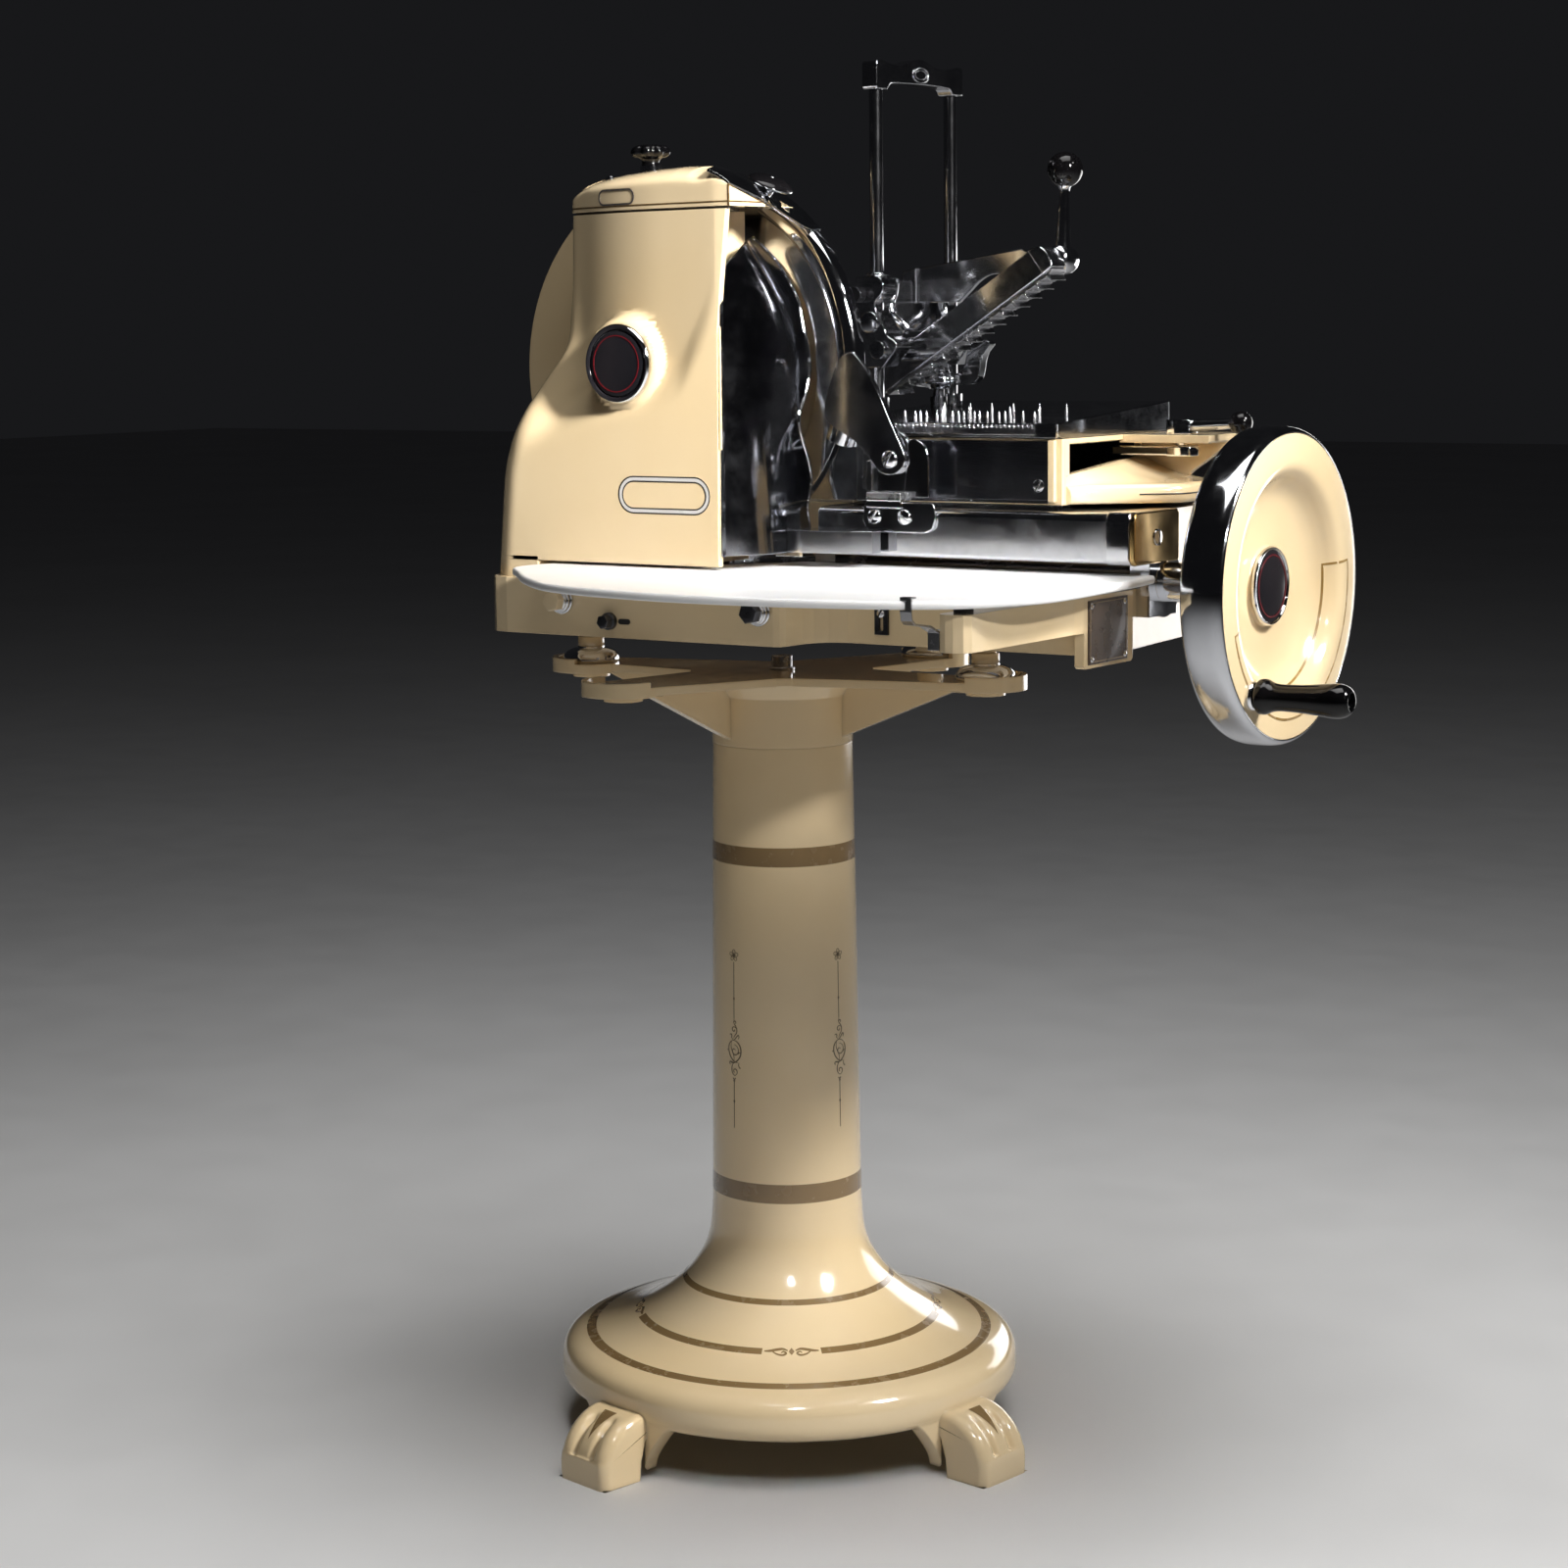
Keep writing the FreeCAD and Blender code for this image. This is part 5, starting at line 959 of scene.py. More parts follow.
def defl_end(row):
    # where the sheet is cut off to the curved outline of its free edge
    goal = 0.81 * row[1] + 0.59 * -50.5
    u = 0.5
    while u < 1.0:
        x, y = defl_raw(row, u)[:2]
        if 0.81 * x + 0.59 * y >= goal:
            break
        u += 0.004
    return u


def defl_pt(row, u):
    return defl_raw(row, row[3] + (defl_end(row) - row[3]) * u)


rows = []
for r in lv:
    fr_, bk = [], []
    for k in range(25):
        x, y, z, tx, ty = defl_pt(r, k / 24.0)
        fr_.append((x, y, z))
        bk.append((x - 2.4 * ty, y + 2.4 * tx, z))
    rows.append(fr_ + bk[::-1])
df.grid(rows, mat_alu_dark, wrap=True, ends=True)
# rolled bead along the free edge and over the top
edge = []
for r in lv:
    x, y, z, tx, ty = defl_pt(r, 1.0)
    edge.append((x - 1.2 * ty, y + 1.2 * tx, z))
df.tube(edge, 2.3, mat_chrome, n=12)
df.box(44.4, 47.6, -172.6, -166.8, 935, 1190, mat_chrome_soft)
df.box(45.6, 47.9, -173.6, -171.6, 1040, 1160, mat_cream)
put("deflector_sheet", df, "stand", ("slice_deflector",), angle=42)

# ------------------------------------------------------------------ guard ring
gd = Sh()
gp2 = spline([(176.0, -50.0), (178.2, -53.2), (183, -55.4), (189.4, -56.3), (195.6, -55.2), (199.6, -52.0), (201.6, -47.6), (202.0, -43), (202.0, -38.2)], 5)
gd.rev(gp2 + [(197.6, -38.2), (197.4, -45.6), (194, -50.6), (187, -52.2), (180.0, -50.8), (178.6, -48.6)], (KX, KZ), "y", mat_chrome, n=72, a0=-23, a1=62, closed=True)
lug = spline([(96, 1074), (106, 1060), (120, 1052), (134, 1044), (146, 1033), (153, 1024), (161, 1015.6), (171, 1012.4), (182, 1015), (189.5, 1023), (190, 1032),
              (184, 1045), (173, 1066), (163, 1087), (152, 1106), (141, 1122), (127, 1133), (110, 1120)], 4, closed=True)
gd.prism(lug, "y", -62.6, -55.9, mat_chrome_dark)
put("guard_ring_chrome", gd, "stand", ("guard_ring",), bevel=1.2, angle=44)

# ------------------------------------------------------------------ hood over the ring's upper end
ST = [(-175.4, [(37.0, 1312.6), (44, 1309.8), (50, 1307.0), (56, 1303.6), (60, 1301.0), (62.8, 1298.8)]),
      (-146.0, [(23.0, 1316.0), (32, 1313.2), (41, 1309.4), (50, 1303.6), (57, 1297.4), (63.6, 1291.0)]),
      (-116.0, [(8.0, 1317.6), (20, 1314.0), (33, 1308.2), (45, 1302.0), (55, 1293.0), (63.8, 1283.0)])]
circ = []
for i in range(6):
    a = math.radians(lerp(76, 43, i / 5.0))
    circ.append((KX + 203.6 * math.cos(a), KZ + 203.6 * math.sin(a)))
ST += [(-86.0, [tuple(lerp(ST[2][1][i][k], circ[i][k], 0.55) for k in (0, 1)) for i in range(6)]), (-57.0, circ), (-36.0, circ)]
secs = []
for y, pts in ST:
    secs.append([(x, y, z) for x, z in spline(pts, 5)])
cols_ = [spline([s[j] for s in secs], 5) for j in range(len(secs[0]))]
hrows = [[cols_[j][i] for j in range(len(cols_))] for i in range(len(cols_[0]))]
hd = Sh()
full = []
for r in hrows:
    low = [(x - 1.2, y, z - 2.8) for x, y, z in r]
    full.append(r + low[::-1])
hd.grid(full, mat_chrome_mid, wrap=True, ends=True)
put("hood_chrome", hd, "stand", ("guard_hood",), bevel=0.9, angle=40)

# knobs: lens on the hood and fluted knob of the sharpener
kb = Sh()
kp = spline([(0.0, 14.6), (6, 14.4), (12, 13.6), (17.5, 12.0), (21.6, 9.6), (23.2, 7.6), (22.6, 5.9), (19, 4.9), (13, 3.9), (8, 2.6), (6.0, 0.6), (5.2, -2.6)], 5)
kb.rev(kp, (0, 0), "z", mat_black, n=72, mf=lambda i, j: mat_black if j < 24 else mat_chrome)
kb.rev([(0, 15.3), (3.2, 15.2), (4.0, 14.4), (4.0, 13.0)], (0, 0), "z", mat_chrome, n=32)
t_ = math.radians(25.56)
kb.v = [(x * math.cos(t_) + z * math.sin(t_) + 42, y - 78, -x * math.sin(t_) + z * math.cos(t_) + 1292.0 + 1.6) for x, y, z in kb.v]
put("hood_knob_turned", kb, "hood_knob", ("hood_knob",), angle=42)
sk_ = Sh()
rows = []
for r0, z in spline([(0.5, 1342.2), (8, 1342.3), (14.5, 1341.6), (18.6, 1339.4), (20.4, 1336.0), (19.8, 1332.6), (16.6, 1330.2), (11.6, 1328.8), (9.4, 1326.8), (8.8, 1323.6), (9.8, 1321.6)], 4):
    ring = []
    for j in range(96):
        a = 2 * math.pi * j / 96
        f = sstep(11, 19, r0)
        r = r0 - f * 3.0 * (0.5 + 0.5 * math.cos(8 * a)) ** 1.5
        ring.append((-79 + r * math.cos(a), -110 + r * math.sin(a), z))
    rows.append(ring)
sk_.grid(rows, mat_black, wrap=True, ends=True)
sk_.rev([(6, 1322), (6, 1226.5), (0, 1226.5)], (-79, -110), "z", mat_machined, n=32)
put("sharpener_knob_moulded", sk_, "sharpener_knob", ("sharpener_knob",), angle=40)

# ------------------------------------------------------------------ press
def rbox(sh, x0, x1, y0, y1, z0, z1, m, rot=None, about=None):
    # box that may be turned about the Y direction
    vs = [(x, y, z) for x in (x0, x1) for y in (y0, y1) for z in (z0, z1)]
    if rot:
        c, s = math.cos(rot), math.sin(rot)
        vs = [(about[0] + (x - about[0]) * c - (z - about[1]) * s, y, about[1] + (x - about[0]) * s + (z - about[1]) * c) for x, y, z in vs]
    sh.add(vs, [(0, 1, 3, 2), (4, 6, 7, 5), (0, 4, 5, 1), (2, 3, 7, 6), (0, 2, 6, 4), (1, 5, 7, 3)], m)


sl_ = Sh()
cheek = [(84, 1116), (84, 1206), (86, 1208), (111, 1208), (114, 1206)] + spline([(114, 1206), (117.5, 1199), (115, 1190.5), (108.6, 1184), (107.4, 1176), (112.4, 1166), (118, 1156), (122, 1148), (128, 1144.5), (132, 1141)], 4)[1:] + [(133, 1136.5), (116, 1116.5)]
sl_.prism(cheek, "y", 16, 44, mat_chrome_dark)
sl_.prism(cheek, "y", 161, 189, mat_chrome_dark)
rbox(sl_, 84, 94, 43.5, 161.5, 1152, 1204, mat_chrome_dark)
put("press_slide_block", sl_, "press_slide", (), bevel=2.2, seg=3)
s2 = Sh()
for ya, yb, yc in ((44.2, 50, 60), (160.8, 155, 145)):
    s2.tube(spline([(112, ya, 1203), (107, yb, 1193), (103.5, yb, 1182), (106.5, yb, 1170), (112, yc, 1160.5), (119, yc, 1153.0)], 5), [6.4] * 8 + [6.0] * 9 + [5.6] * 9, mat_chrome, n=16)
for y0, y1 in ((13.2, 16.2), (188.8, 191.6)):
    s2.rev([(0, y0), (9.4, y0), (10.6, y0 + 0.8), (10.6, y1), (0, y1)], (101, 1162), "y", mat_chrome, n=40)
s2.rev([(7.4, 1208), (10.8, 1208), (11.6, 1209.4), (11.0, 1211.6), (7.3, 1212.2)], (101, 30), "z", mat_chrome, n=40)
s2.rev([(7.4, 1208), (10.8, 1208), (11.6, 1209.4), (11.0, 1211.6), (7.3, 1212.2)], (101, 175), "z", mat_chrome, n=40)
put("press_slide_fork", s2, "press_slide", ("press_slide",), angle=42)

AA = math.atan2(107.0, 169.0)


def arm_pt(s, n):
    return (75.0 + s * math.cos(AA) - n * math.sin(AA), 1085.0 + s * math.sin(AA) + n * math.cos(AA))


ar = Sh()
beam = [arm_pt(s, n) for s, n in [(1, 3.4), (3, 7), (24, 25.6), (31, 29.8), (38, 31.4), (226, 31.4), (230, 30.2), (233, 26), (235.6, 5.0), (234.6, 3.4)]]
ar.prism(beam, "y", 84, 118, mat_chrome_dark)
put("press_arm_beam", ar, "press_arm", (), bevel=2.4, seg=3, angle=25)
ae = Sh()
blk = [arm_pt(s, n) for s, n in [(222, 32.2), (231, 32.0), (237.0, 27.4), (239.4, 21), (239.4, 9), (237.4, 3.6), (224, 3.0)]]
ae.prism(blk, "y", 83.2, 112, mat_chrome_soft)
wed = [(97, 1181), (97, 1217), (160, 1226.0), (219, 1234), (236, 1229.5), (228, 1226), (215, 1214)] + spline([(205, 1207), (193, 1209.5), (180, 1208), (168, 1201), (158, 1192), (146, 1181.4)], 3)
ae.prism(wed, "y", 116.8, 123.4, mat_chrome_dark)
ae.prism([(80.5, 1180), (80.5, 1213.6), (97.2, 1217), (97.2, 1181.4)], "y", 112, 124.6, mat_chrome_dark)
put("press_arm_plates", ae, "press_arm", (), bevel=1.3, seg=3, angle=25)
ab = Sh()
ab.rev([(0, 44.4), (10, 44.4), (12, 46), (12, 159), (10, 160.6), (0, 160.6)], (114, 1134), "y", mat_chrome, n=48)
ab.rev([(0, 109.4), (10.5, 109.6), (13.6, 111.6), (14.8, 115), (14.8, 134), (13.8, 138), (10.6, 140.6), (5, 141.6), (0, 141.8)], (261, 1222), "y", mat_chrome_soft, n=56)
put("press_arm_bosses", ab, "press_arm", ("press_arm",), angle=44)
lv_ = Sh()
lv_.rev(spline([(0, 1226), (8.8, 1227), (8.9, 1231), (8.0, 1240), (6.9, 1256), (5.9, 1274), (5.2, 1288), (5.4, 1293), (7.0, 1295.4), (8.4, 1297.4), (7.6, 1299.6), (3, 1301)], 4), (0, 0), "z", mat_chrome, n=48)
lv_.v = [(x + 262.8 + 0.043 * (z - 1228), y + 124, z) for x, y, z in lv_.v]
put("press_lever_turned", lv_, "press_arm", ("press_lever",), angle=44)
bl = Sh()
bl.ball((266, 124, 1312), 18.0, mat_black, n=72)
put("press_ball_moulded", bl, "press_arm", ("press_ball",))

tb = Sh()
bar_p = [(18, 1397), (18, 1420), (20, 1423), (26, 1424)] + spline([(30, 1424), (46, 1421), (66, 1420.4), (80, 1423.4), (92, 1427), (102.5, 1428), (113, 1427), (125, 1423.4), (139, 1420.4), (159, 1421), (176, 1424)], 4) + \
        [(184, 1424), (187, 1422), (187, 1397), (185, 1395), (166, 1395)] + spline([(165, 1396), (161, 1400), (152, 1401.6), (102, 1402.6), (53, 1401.6), (44, 1400), (40, 1396)], 4) + [(39, 1395), (20, 1395)]
tb.prism([(y, z) for y, z in bar_p], "x", 92, 110, mat_chrome_dark)
put("press_top_casting", tb, "table", (), bevel=2.6, seg=3, angle=35)
tv = Sh()
n_ = 48
ring = [(102.5 + 15 * math.cos(2 * math.pi * i / n_), 1412.6 + 7.4 * math.sin(2 * math.pi * i / n_)) for i in range(n_)]
tv.ribbon(ring, 1.6, lambda u, v: ((110.0, u, v), (1.0, 0.0, 0.0)), mat_chrome_soft, close=True, lift=0.9)
tv.ribbon([(102.5 + (u - 102.5) * 0.72, 1412.6 + (v - 1412.6) * 0.62) for u, v in ring], 0.7, lambda u, v: ((110.0, u, v), (1.0, 0.0, 0.0)), mat_chrome_soft, close=True, lift=0.5)
put("press_top_oval", tv, "table", ("press_top_bar",), angle=40)

# cast hand nut: hub, two ears and one long wing
hn = Sh()
hn.rev(spline([(6.2, 1091.6), (9.8, 1091.8), (11.4, 1093.6), (13.6, 1095.4), (19.8, 1097.4), (21.6, 1100.6), (20.6, 1104.2), (15.6, 1106.6), (12.2, 1108.4), (10.8, 1111.4), (6.4, 1112.4)], 4), (106, 142), "z", mat_chrome, n=56)
wing = spline([(104, 1097.4), (126, 1095.8), (146, 1096.6), (156, 1101.4), (159, 1109), (160.6, 1119), (164, 1129), (170.6, 1136.6), (169, 1141), (161, 1142.4), (151, 1140.6), (145, 1134), (142.4, 1124), (139.6, 1114.6), (132, 1108.4), (118, 1106.6), (104, 1106.8)], 3)
hn.prism(wing, "y", 136.2, 147.8, mat_chrome)
ear = [(math.cos(math.radians(a)), math.sin(math.radians(a))) for a in (128, 196)]
for ex, ey in ear:
    hn.tube(spline([(106 + 12 * ex, 142 + 12 * ey, 1101), (106 + 22 * ex, 142 + 22 * ey, 1102), (106 + 27 * ex, 142 + 27 * ey, 1105), (106 + 30 * ex, 142 + 30 * ey, 1110)], 4), [7.6] * 5 + [6.2] * 4 + [5.0] * 4, mat_chrome, n=16)
put("hand_nut_casting", hn, "hand_nut", ("hand_nut",), bevel=3.2, seg=3, angle=40)

# ------------------------------------------------------------------ carriage, table, rail housing, bracket
def screw_head(sh, c, r, h, ang, nrm, m, slot_m=None, w=1.5, dome=0.35):
    # slotted head on a face looking along -Y or +X
    prof = [(0, h), (r * 0.6, h * (1 - dome * 0.3)), (r * 0.9, h * (1 - dome)), (r, h * 0.35), (r, -0.6)]
    n = 40
    rows = []
    for i in range(n):
        a = 2 * math.pi * i / n
        ring = []
        for rr_, hh_ in prof:
            u, v = rr_ * math.cos(a), rr_ * math.sin(a)
            ring.append((c[0] + u, c[1] - hh_, c[2] + v) if nrm == "-y" else (c[0] + hh_, c[1] + u, c[2] + v))
        rows.append(ring)
    sh.grid(rows, m, close=True)
    ca, sa = math.cos(math.radians(ang)), math.sin(math.radians(ang))
    q = []
    for u, v in ((-r * 0.96, -w / 2), (r * 0.96, -w / 2), (r * 0.96, w / 2), (-r * 0.96, w / 2)):
        q.append((u * ca - v * sa, u * sa + v * ca))
    lo, hi = h * 0.2, h + 0.12
    if nrm == "-y":
        vs = [(c[0] + u, c[1] - lo, c[2] + v) for u, v in q] + [(c[0] + u, c[1] - hi, c[2] + v) for u, v in q]
    else:
        vs = [(c[0] + lo, c[1] + u, c[2] + v) for u, v in q] + [(c[0] + hi, c[1] + u, c[2] + v) for u, v in q]
    # the slot is a thin bar laid over the head; unless a slot material is given it is dark, painted shade in place of a
    # cut slot
    sh.add(vs, [(0, 1, 2, 3), (7, 6, 5, 4), (0, 4, 5, 1), (1, 5, 6, 2), (2, 6, 7, 3), (3, 7, 4, 0)], slot_m or mat_slot_shade)


# bracket that joins the guard ring to the rail housing
bk = Sh()
plate_u = spline([(151, 994), (151, 1040), (153, 1050), (160, 1055), (176, 1055), (186, 1051), (190.6, 1042)], 3) + [(190.6, 994)]
bk.prism(plate_u, "y", -55.6, -50.4, mat_chrome_mid)
bk.prism([(186, 990)] + spline([(190.8, 1046), (197, 1048), (207, 1044), (213.4, 1034), (214, 1024)], 3) + [(214, 990)], "y", -57.4, -53.0, mat_chrome_mid)
bk.box(151, 191, -72.4, -50.4, 987, 995.4, mat_silver)
bk.box(151, 191, -72.4, -65.1, 980, 990, mat_chrome)
low = [(146, 966), (146, 982), (149, 986)] + [(224, 986)] + spline([(226, 985), (228.4, 980), (228.4, 968), (225, 960), (216, 956)], 3) + [(156, 956), (149, 958.6)]
bk.prism(low, "y", -69, -65.05, mat_chrome_mid)
put("bracket_plates", bk, "stand", ("guard_bracket",), bevel=1.1, seg=3, angle=30)
sc = Sh()
screw_head(sc, (173, -62.6, 1028), 8.8, 4.0, 62, "-y", mat_chrome_soft)
for x, a in ((159, 55), (194, -30)):
    screw_head(sc, (x, -69, 971.6), 7.6, 3.6, a, "-y", mat_chrome, mat_chrome)
screw_head(sc, (198.5, -121, 881), 4.4, 2.6, 60, "-y", mat_chrome_soft)
screw_head(sc, (446, -20, 956), 8.0, 2.6, 90, "+x", mat_chrome_soft)
sc.rev([(0, 1300), (5.6, 1300), (5.6, 1310.5), (4.6, 1312.6), (2.4, 1313.4), (0, 1313.6)], (-130, -110), "z", mat_chrome, n=32)
put("screws_slotted", sc, "stand", ("slotted_screws",), angle=44)

# rail housing: polished bar with a band and a rounded end plate
rh = Sh()
rp = [(-65, 934.5), (-65, 974), (-63.6, 977), (-60, 979.4), (-55, 980), (22, 980), (25, 977), (25, 934), (23, 932), (-62.6, 932)]
rh.prism([(y, z) for y, z in rp], "x", 89, 417, mat_alu)
put("rail_bar", rh, "stand", (), bevel=1.6, seg=3, angle=25)
r2 = Sh()
rq = [(-66.2, 936), (-66.2, 973), (-64.6, 977.6), (-60.6, 980.8), (-55, 981.4), (22, 981.4), (26, 978), (26, 933), (23, 931), (-62.6, 931)]
r2.prism([(y, z) for y, z in rq], "x", 414.5, 440, mat_chrome)
put("rail_end_band", r2, "stand", ("rail_housing",), bevel=2.4, seg=3, angle=25)
r3 = Sh()
r3.prism([(y, z) for y, z in rq], "x", 440.1, 446, mat_end_plate)
put("rail_end_plate", r3, "stand", ("rail_end_cap",), bevel=3.4, seg=4, angle=25)

# front panel of the carriage with its cream edge
fp = Sh()
fp.box(79, 333, -29.4, -24.1, 988, 1046, mat_panel)
put("carriage_panel", fp, "carriage", (), bevel=0.7, seg=2)
fp = Sh()
fp.box(332.6, 339, -29.8, -24.1, 987.4, 1047, mat_cream)
fp.box(79, 333, -29.9, -24.2, 985.6, 988.2, mat_chrome)
screw_head(fp, (322, -29.2, 1003), 6.2, 1.2, 62, "-y", mat_chrome_soft, w=1.3, dome=0.2)
put("carriage_panel_edge", fp, "carriage", ("carriage_front_panel",), angle=40)

# carriage casting
cc = Sh()
X0, X1, Y0, Y1, Z0, Z1 = 79.0, 345.0, -24.0, 190.0, 984.0, 1048.0
outer = [(X0, Y0), (X1 - 4, Y0), (X1, Y0 + 4), (X1, Y1), (X0, Y1)]
cc.box(X0, X1, Y0, Y0 + 6, Z0, Z1, mat_cream)
cc.box(X0, X1, Y1 - 6, Y1, Z0, Z1, mat_cream)
cc.box(X0, X0 + 6, Y0 + 5, Y1 - 5, Z0, Z1, mat_cream)
cc.box(X0 + 5, X1 - 7, Y0 + 5, Y1 - 5, Z1 - 6, Z1, mat_cream)
cc.box(X0 + 5, X1 - 7, Y0 + 5, Y1 - 5, Z0, Z0 + 6, mat_cream)
# right wall with its window
wy0, wy1 = -9.0, 139.0
cc.box(X1 - 8, X1, Y0 + 5, wy0, Z0, Z1, mat_cream)
cc.box(X1 - 8, X1, wy1, Y1 - 5, Z0, Z1, mat_cream)
cc.prism([(wy0 - 0.1, Z0), (wy1 + 0.1, Z0), (wy1 + 0.1, 1026), (wy0 - 0.1, 1013)], "x", X1 - 8, X1, mat_cream)
cc.box(X1 - 8, X1, wy0 - 0.1, wy1 + 0.1, 1043, Z1, mat_cream)
# painted shade: thin dark-steel sheets line the inner faces of the box, so the interior seen through the window is
# dark; they stand in for the shade and the dark feed mechanism inside
for y0, y1, z0, z1 in ((Y0 + 6.2, Y1 - 6.2, Z0 + 6.0, Z0 + 6.8), (Y0 + 6.2, Y1 - 6.2, Z1 - 6.8, Z1 - 6.0), (Y1 - 6.8, Y1 - 6.0, Z0 + 6.9, Z1 - 6.9)):
    cc.box(X0 + 6.2, X1 - 8.2, y0, y1, z0, z1, mat_dark_steel)
cc.box(X0 + 6.0, X0 + 6.8, Y0 + 6.2, Y1 - 7.0, Z0 + 6.9, Z1 - 6.9, mat_dark_steel)
put("carriage_box", cc, "carriage", (), bevel=0.8, seg=2)
c2 = Sh()
rows, groove_shade_line = [], []
for j in range(31):
    Y = lerp(-16.0, 150.0, j / 30.0)
    e = 2.0 + 83.0 * sstep(-16, 74, Y)
    zb = 1013.0 + 13.0 * (Y + 9.0) / 148.0
    q = [(341, 984.0), (345 + e - 1.0, 984.0), (345 + e + 2.0, 985.2), (345 + e + 3.6, 988.0), (345 + e + 3.6, 994.0), (345 + e + 2.4, 998.4), (345 + e - 0.4, 1001.6)]
    for k in range(1, 13):
        u = 1 - k / 12.0
        q.append((345 + (e - 2.0) * u, 1002.4 + (zb - 1002.4) * (1 - u) ** 1.9))
    q.append((341, zb))
    rows.append([(x, Y, z) for x, z in q])
    if Y > 30:
        groove_shade_line.append((345 + e + 3.5, Y, 993.0))
c2.grid(rows, mat_cream, wrap=True, ends=True)
# painted shade: a thin dark tube on the flange's face stands for the shadow in its groove
c2.tube(groove_shade_line, 0.75, mat_dark_line, n=8)
put("carriage_shoe_flange", c2, "carriage", (), angle=50)
c3 = Sh()
c3.prism([(341, 1040), (438, 1040), (440, 1042), (440, 1048), (341, 1048)], "y", 100, 190, mat_cream)
upw = [(341, 1047)] + [(438, 1047), (439.5, 1041)] + spline([(435, 1035), (424, 1027), (412, 1018.6), (402, 1012), (393, 1004), (384, 994)], 3) + [(341, 990)]
c3.prism(upw, "y", 142, 150, mat_cream)
c3.box(399.4, 408.6, 107.4, 116.6, 1037.4, 1040.4, mat_chrome)
c3.box(100, 330, -18, 18, 980.2, 984.2, mat_machined)
c3.box(100, 330, 118, 132, 983.2, 984.2, mat_machined)
put("carriage_upper_ledge", c3, "carriage", ("carriage",), bevel=1.4, seg=3, angle=28)

# link, pin block and feed lever
ln_ = Sh()
ln_.box(330, 392, 104.6, 118.6, 1027.4, 1036.8, mat_chrome)
ln_.prism([(392, 101), (416, 101), (419, 104), (419, 120), (416, 123), (392, 123)], "z", 1026.8, 1037.2, mat_chrome)
put("feed_link_bar", ln_, "carriage", ("feed_link",), bevel=1.6, seg=3)
fl = Sh()
fl.prism([(392.5, 102), (415, 102), (417.5, 104.5), (417.5, 119.5), (415, 122), (392.5, 122), (390.5, 119), (390.5, 105)], "z", 1048.4, 1063.2, mat_chrome)
fl.tube([(404, 112, 1057), (420, 112, 1057.3), (462, 112, 1059.4)], [6.2, 6.0, 5.0], mat_chrome_dark, n=24)
fl.ball((468, 112, 1060.0), 11.5, mat_black, n=48)
put("feed_lever_forged", fl, "feed_lever", ("feed_lever",), bevel=1.2, seg=3, angle=45)

# meat table
mt = Sh()
sec = [(-26, 1054.5), (-26, 1060.6), (-25.2, 1062.4), (-23.4, 1063.2), (208.6, 1077.9), (210, 1076.6), (210, 1049.4), (208.8, 1048.4), (-14, 1048.4), (-20, 1050)]
mt.prism([(y, z) for y, z in sec], "x", 80, 340, mat_table)
put("table_plate", mt, "table", ("meat_table",), bevel=1.2, seg=3, angle=20)
sp = Sh()
pts = [(150, 1052)]
for i in range(36):
    x = 150 + i * 5.0
    pts += [(x, 1058.2), (x + 3.8, 1061.8)]
pts += [(330, 1058.2), (330, 1052)]
sp.prism(pts, "y", -28.8, -26.0, mat_machined)
sp.box(80, 340, -29.0, -26.0, 1049.4, 1052.6, mat_chrome)
sp.box(318, 341, -29.4, -25.6, 1049.0, 1062.6, mat_chrome)


def ztab(y):
    return 1063.0 + 15.0 * (y + 26.0) / 236.0


for x in (160, 172, 178, 185, 197, 203, 215, 222, 228, 240, 246, 255, 268, 275, 281, 295, 308):
    sp.rev([(1.5, ztab(-12) - 1), (1.3, ztab(-12) + 6), (0.15, ztab(-12) + 10.5)], (x, -12), "z", mat_silver, n=10)
for x in (170, 200, 225, 250, 280, 310):
    sp.rev([(1.5, ztab(48) - 1), (1.3, ztab(48) + 7), (0.15, ztab(48) + 12.5)], (x, 48), "z", mat_silver, n=10)
for x in (185, 215, 262, 295):
    sp.rev([(1.5, ztab(20) - 1), (1.3, ztab(20) + 7), (0.15, ztab(20) + 12)], (x, 20), "z", mat_silver, n=10)
put("table_spikes_row", sp, "table", ("table_spikes",), angle=40)

# ------------------------------------------------------------------ tray
ty = Sh()
front_ = [(-153, -128), (-166, -160), (-176, -200), (-170, -232), (-138, -266), (-82, -325), (-8, -381), (90, -410), (180, -420),
          (281, -414), (369, -393), (425, -362), (452, -325), (469, -280), (472, -230), (468, -160), (461, -80), (455, -42)]
rest_ = [(455, -42), (447, -38.5), (60, -38.5), (10, -100), (-10, -128)]
edge = spline(front_, 6)[:-1] + rest_
n_e = len(edge)


def inset(poly, d):
    out = []
    m = len(poly)
    for i in range(m):
        a, b = poly[i - 1], poly[(i + 1) % m]
        tx, ty_ = b[0] - a[0], b[1] - a[1]
        ln = math.hypot(tx, ty_) or 1.0
        out.append((poly[i][0] - ty_ / ln * d, poly[i][1] + tx / ln * d))
    return out


rows = []
for d, z in ((5.0, 913.5), (1.8, 913.7), (0.5, 914.9), (0.0, 917.0), (0.2, 919.2), (1.0, 920.7), (2.4, 921.4), (5.0, 921.5)):
    rows.append([(x, y, z) for x, y in inset(edge, d)])
ty.grid(rows, mat_tray, wrap=True, ends=True)
put("tray_board", ty, "stand", ("receiving_tray",), angle=50)

# ------------------------------------------------------------------ hexagon bolts with washers on the base
def hexa(sh, x, z, af, y0, y1, m):
    r = af / math.sqrt(3)
    rows = []
    for rr_, yy in ((r, y1), (r, y0 + 1.6), (r * 0.93, y0 + 0.3), (r * 0.80, y0), (r * 0.4, y0 + 0.1), (0.3, y0 + 0.1)):
        rows.append([(x + rr_ * math.cos(math.radians(60 * i + 12)), yy, z + rr_ * math.sin(math.radians(60 * i + 12))) for i in range(6)])
    sh.grid(rows, m, wrap=True, ends=True)


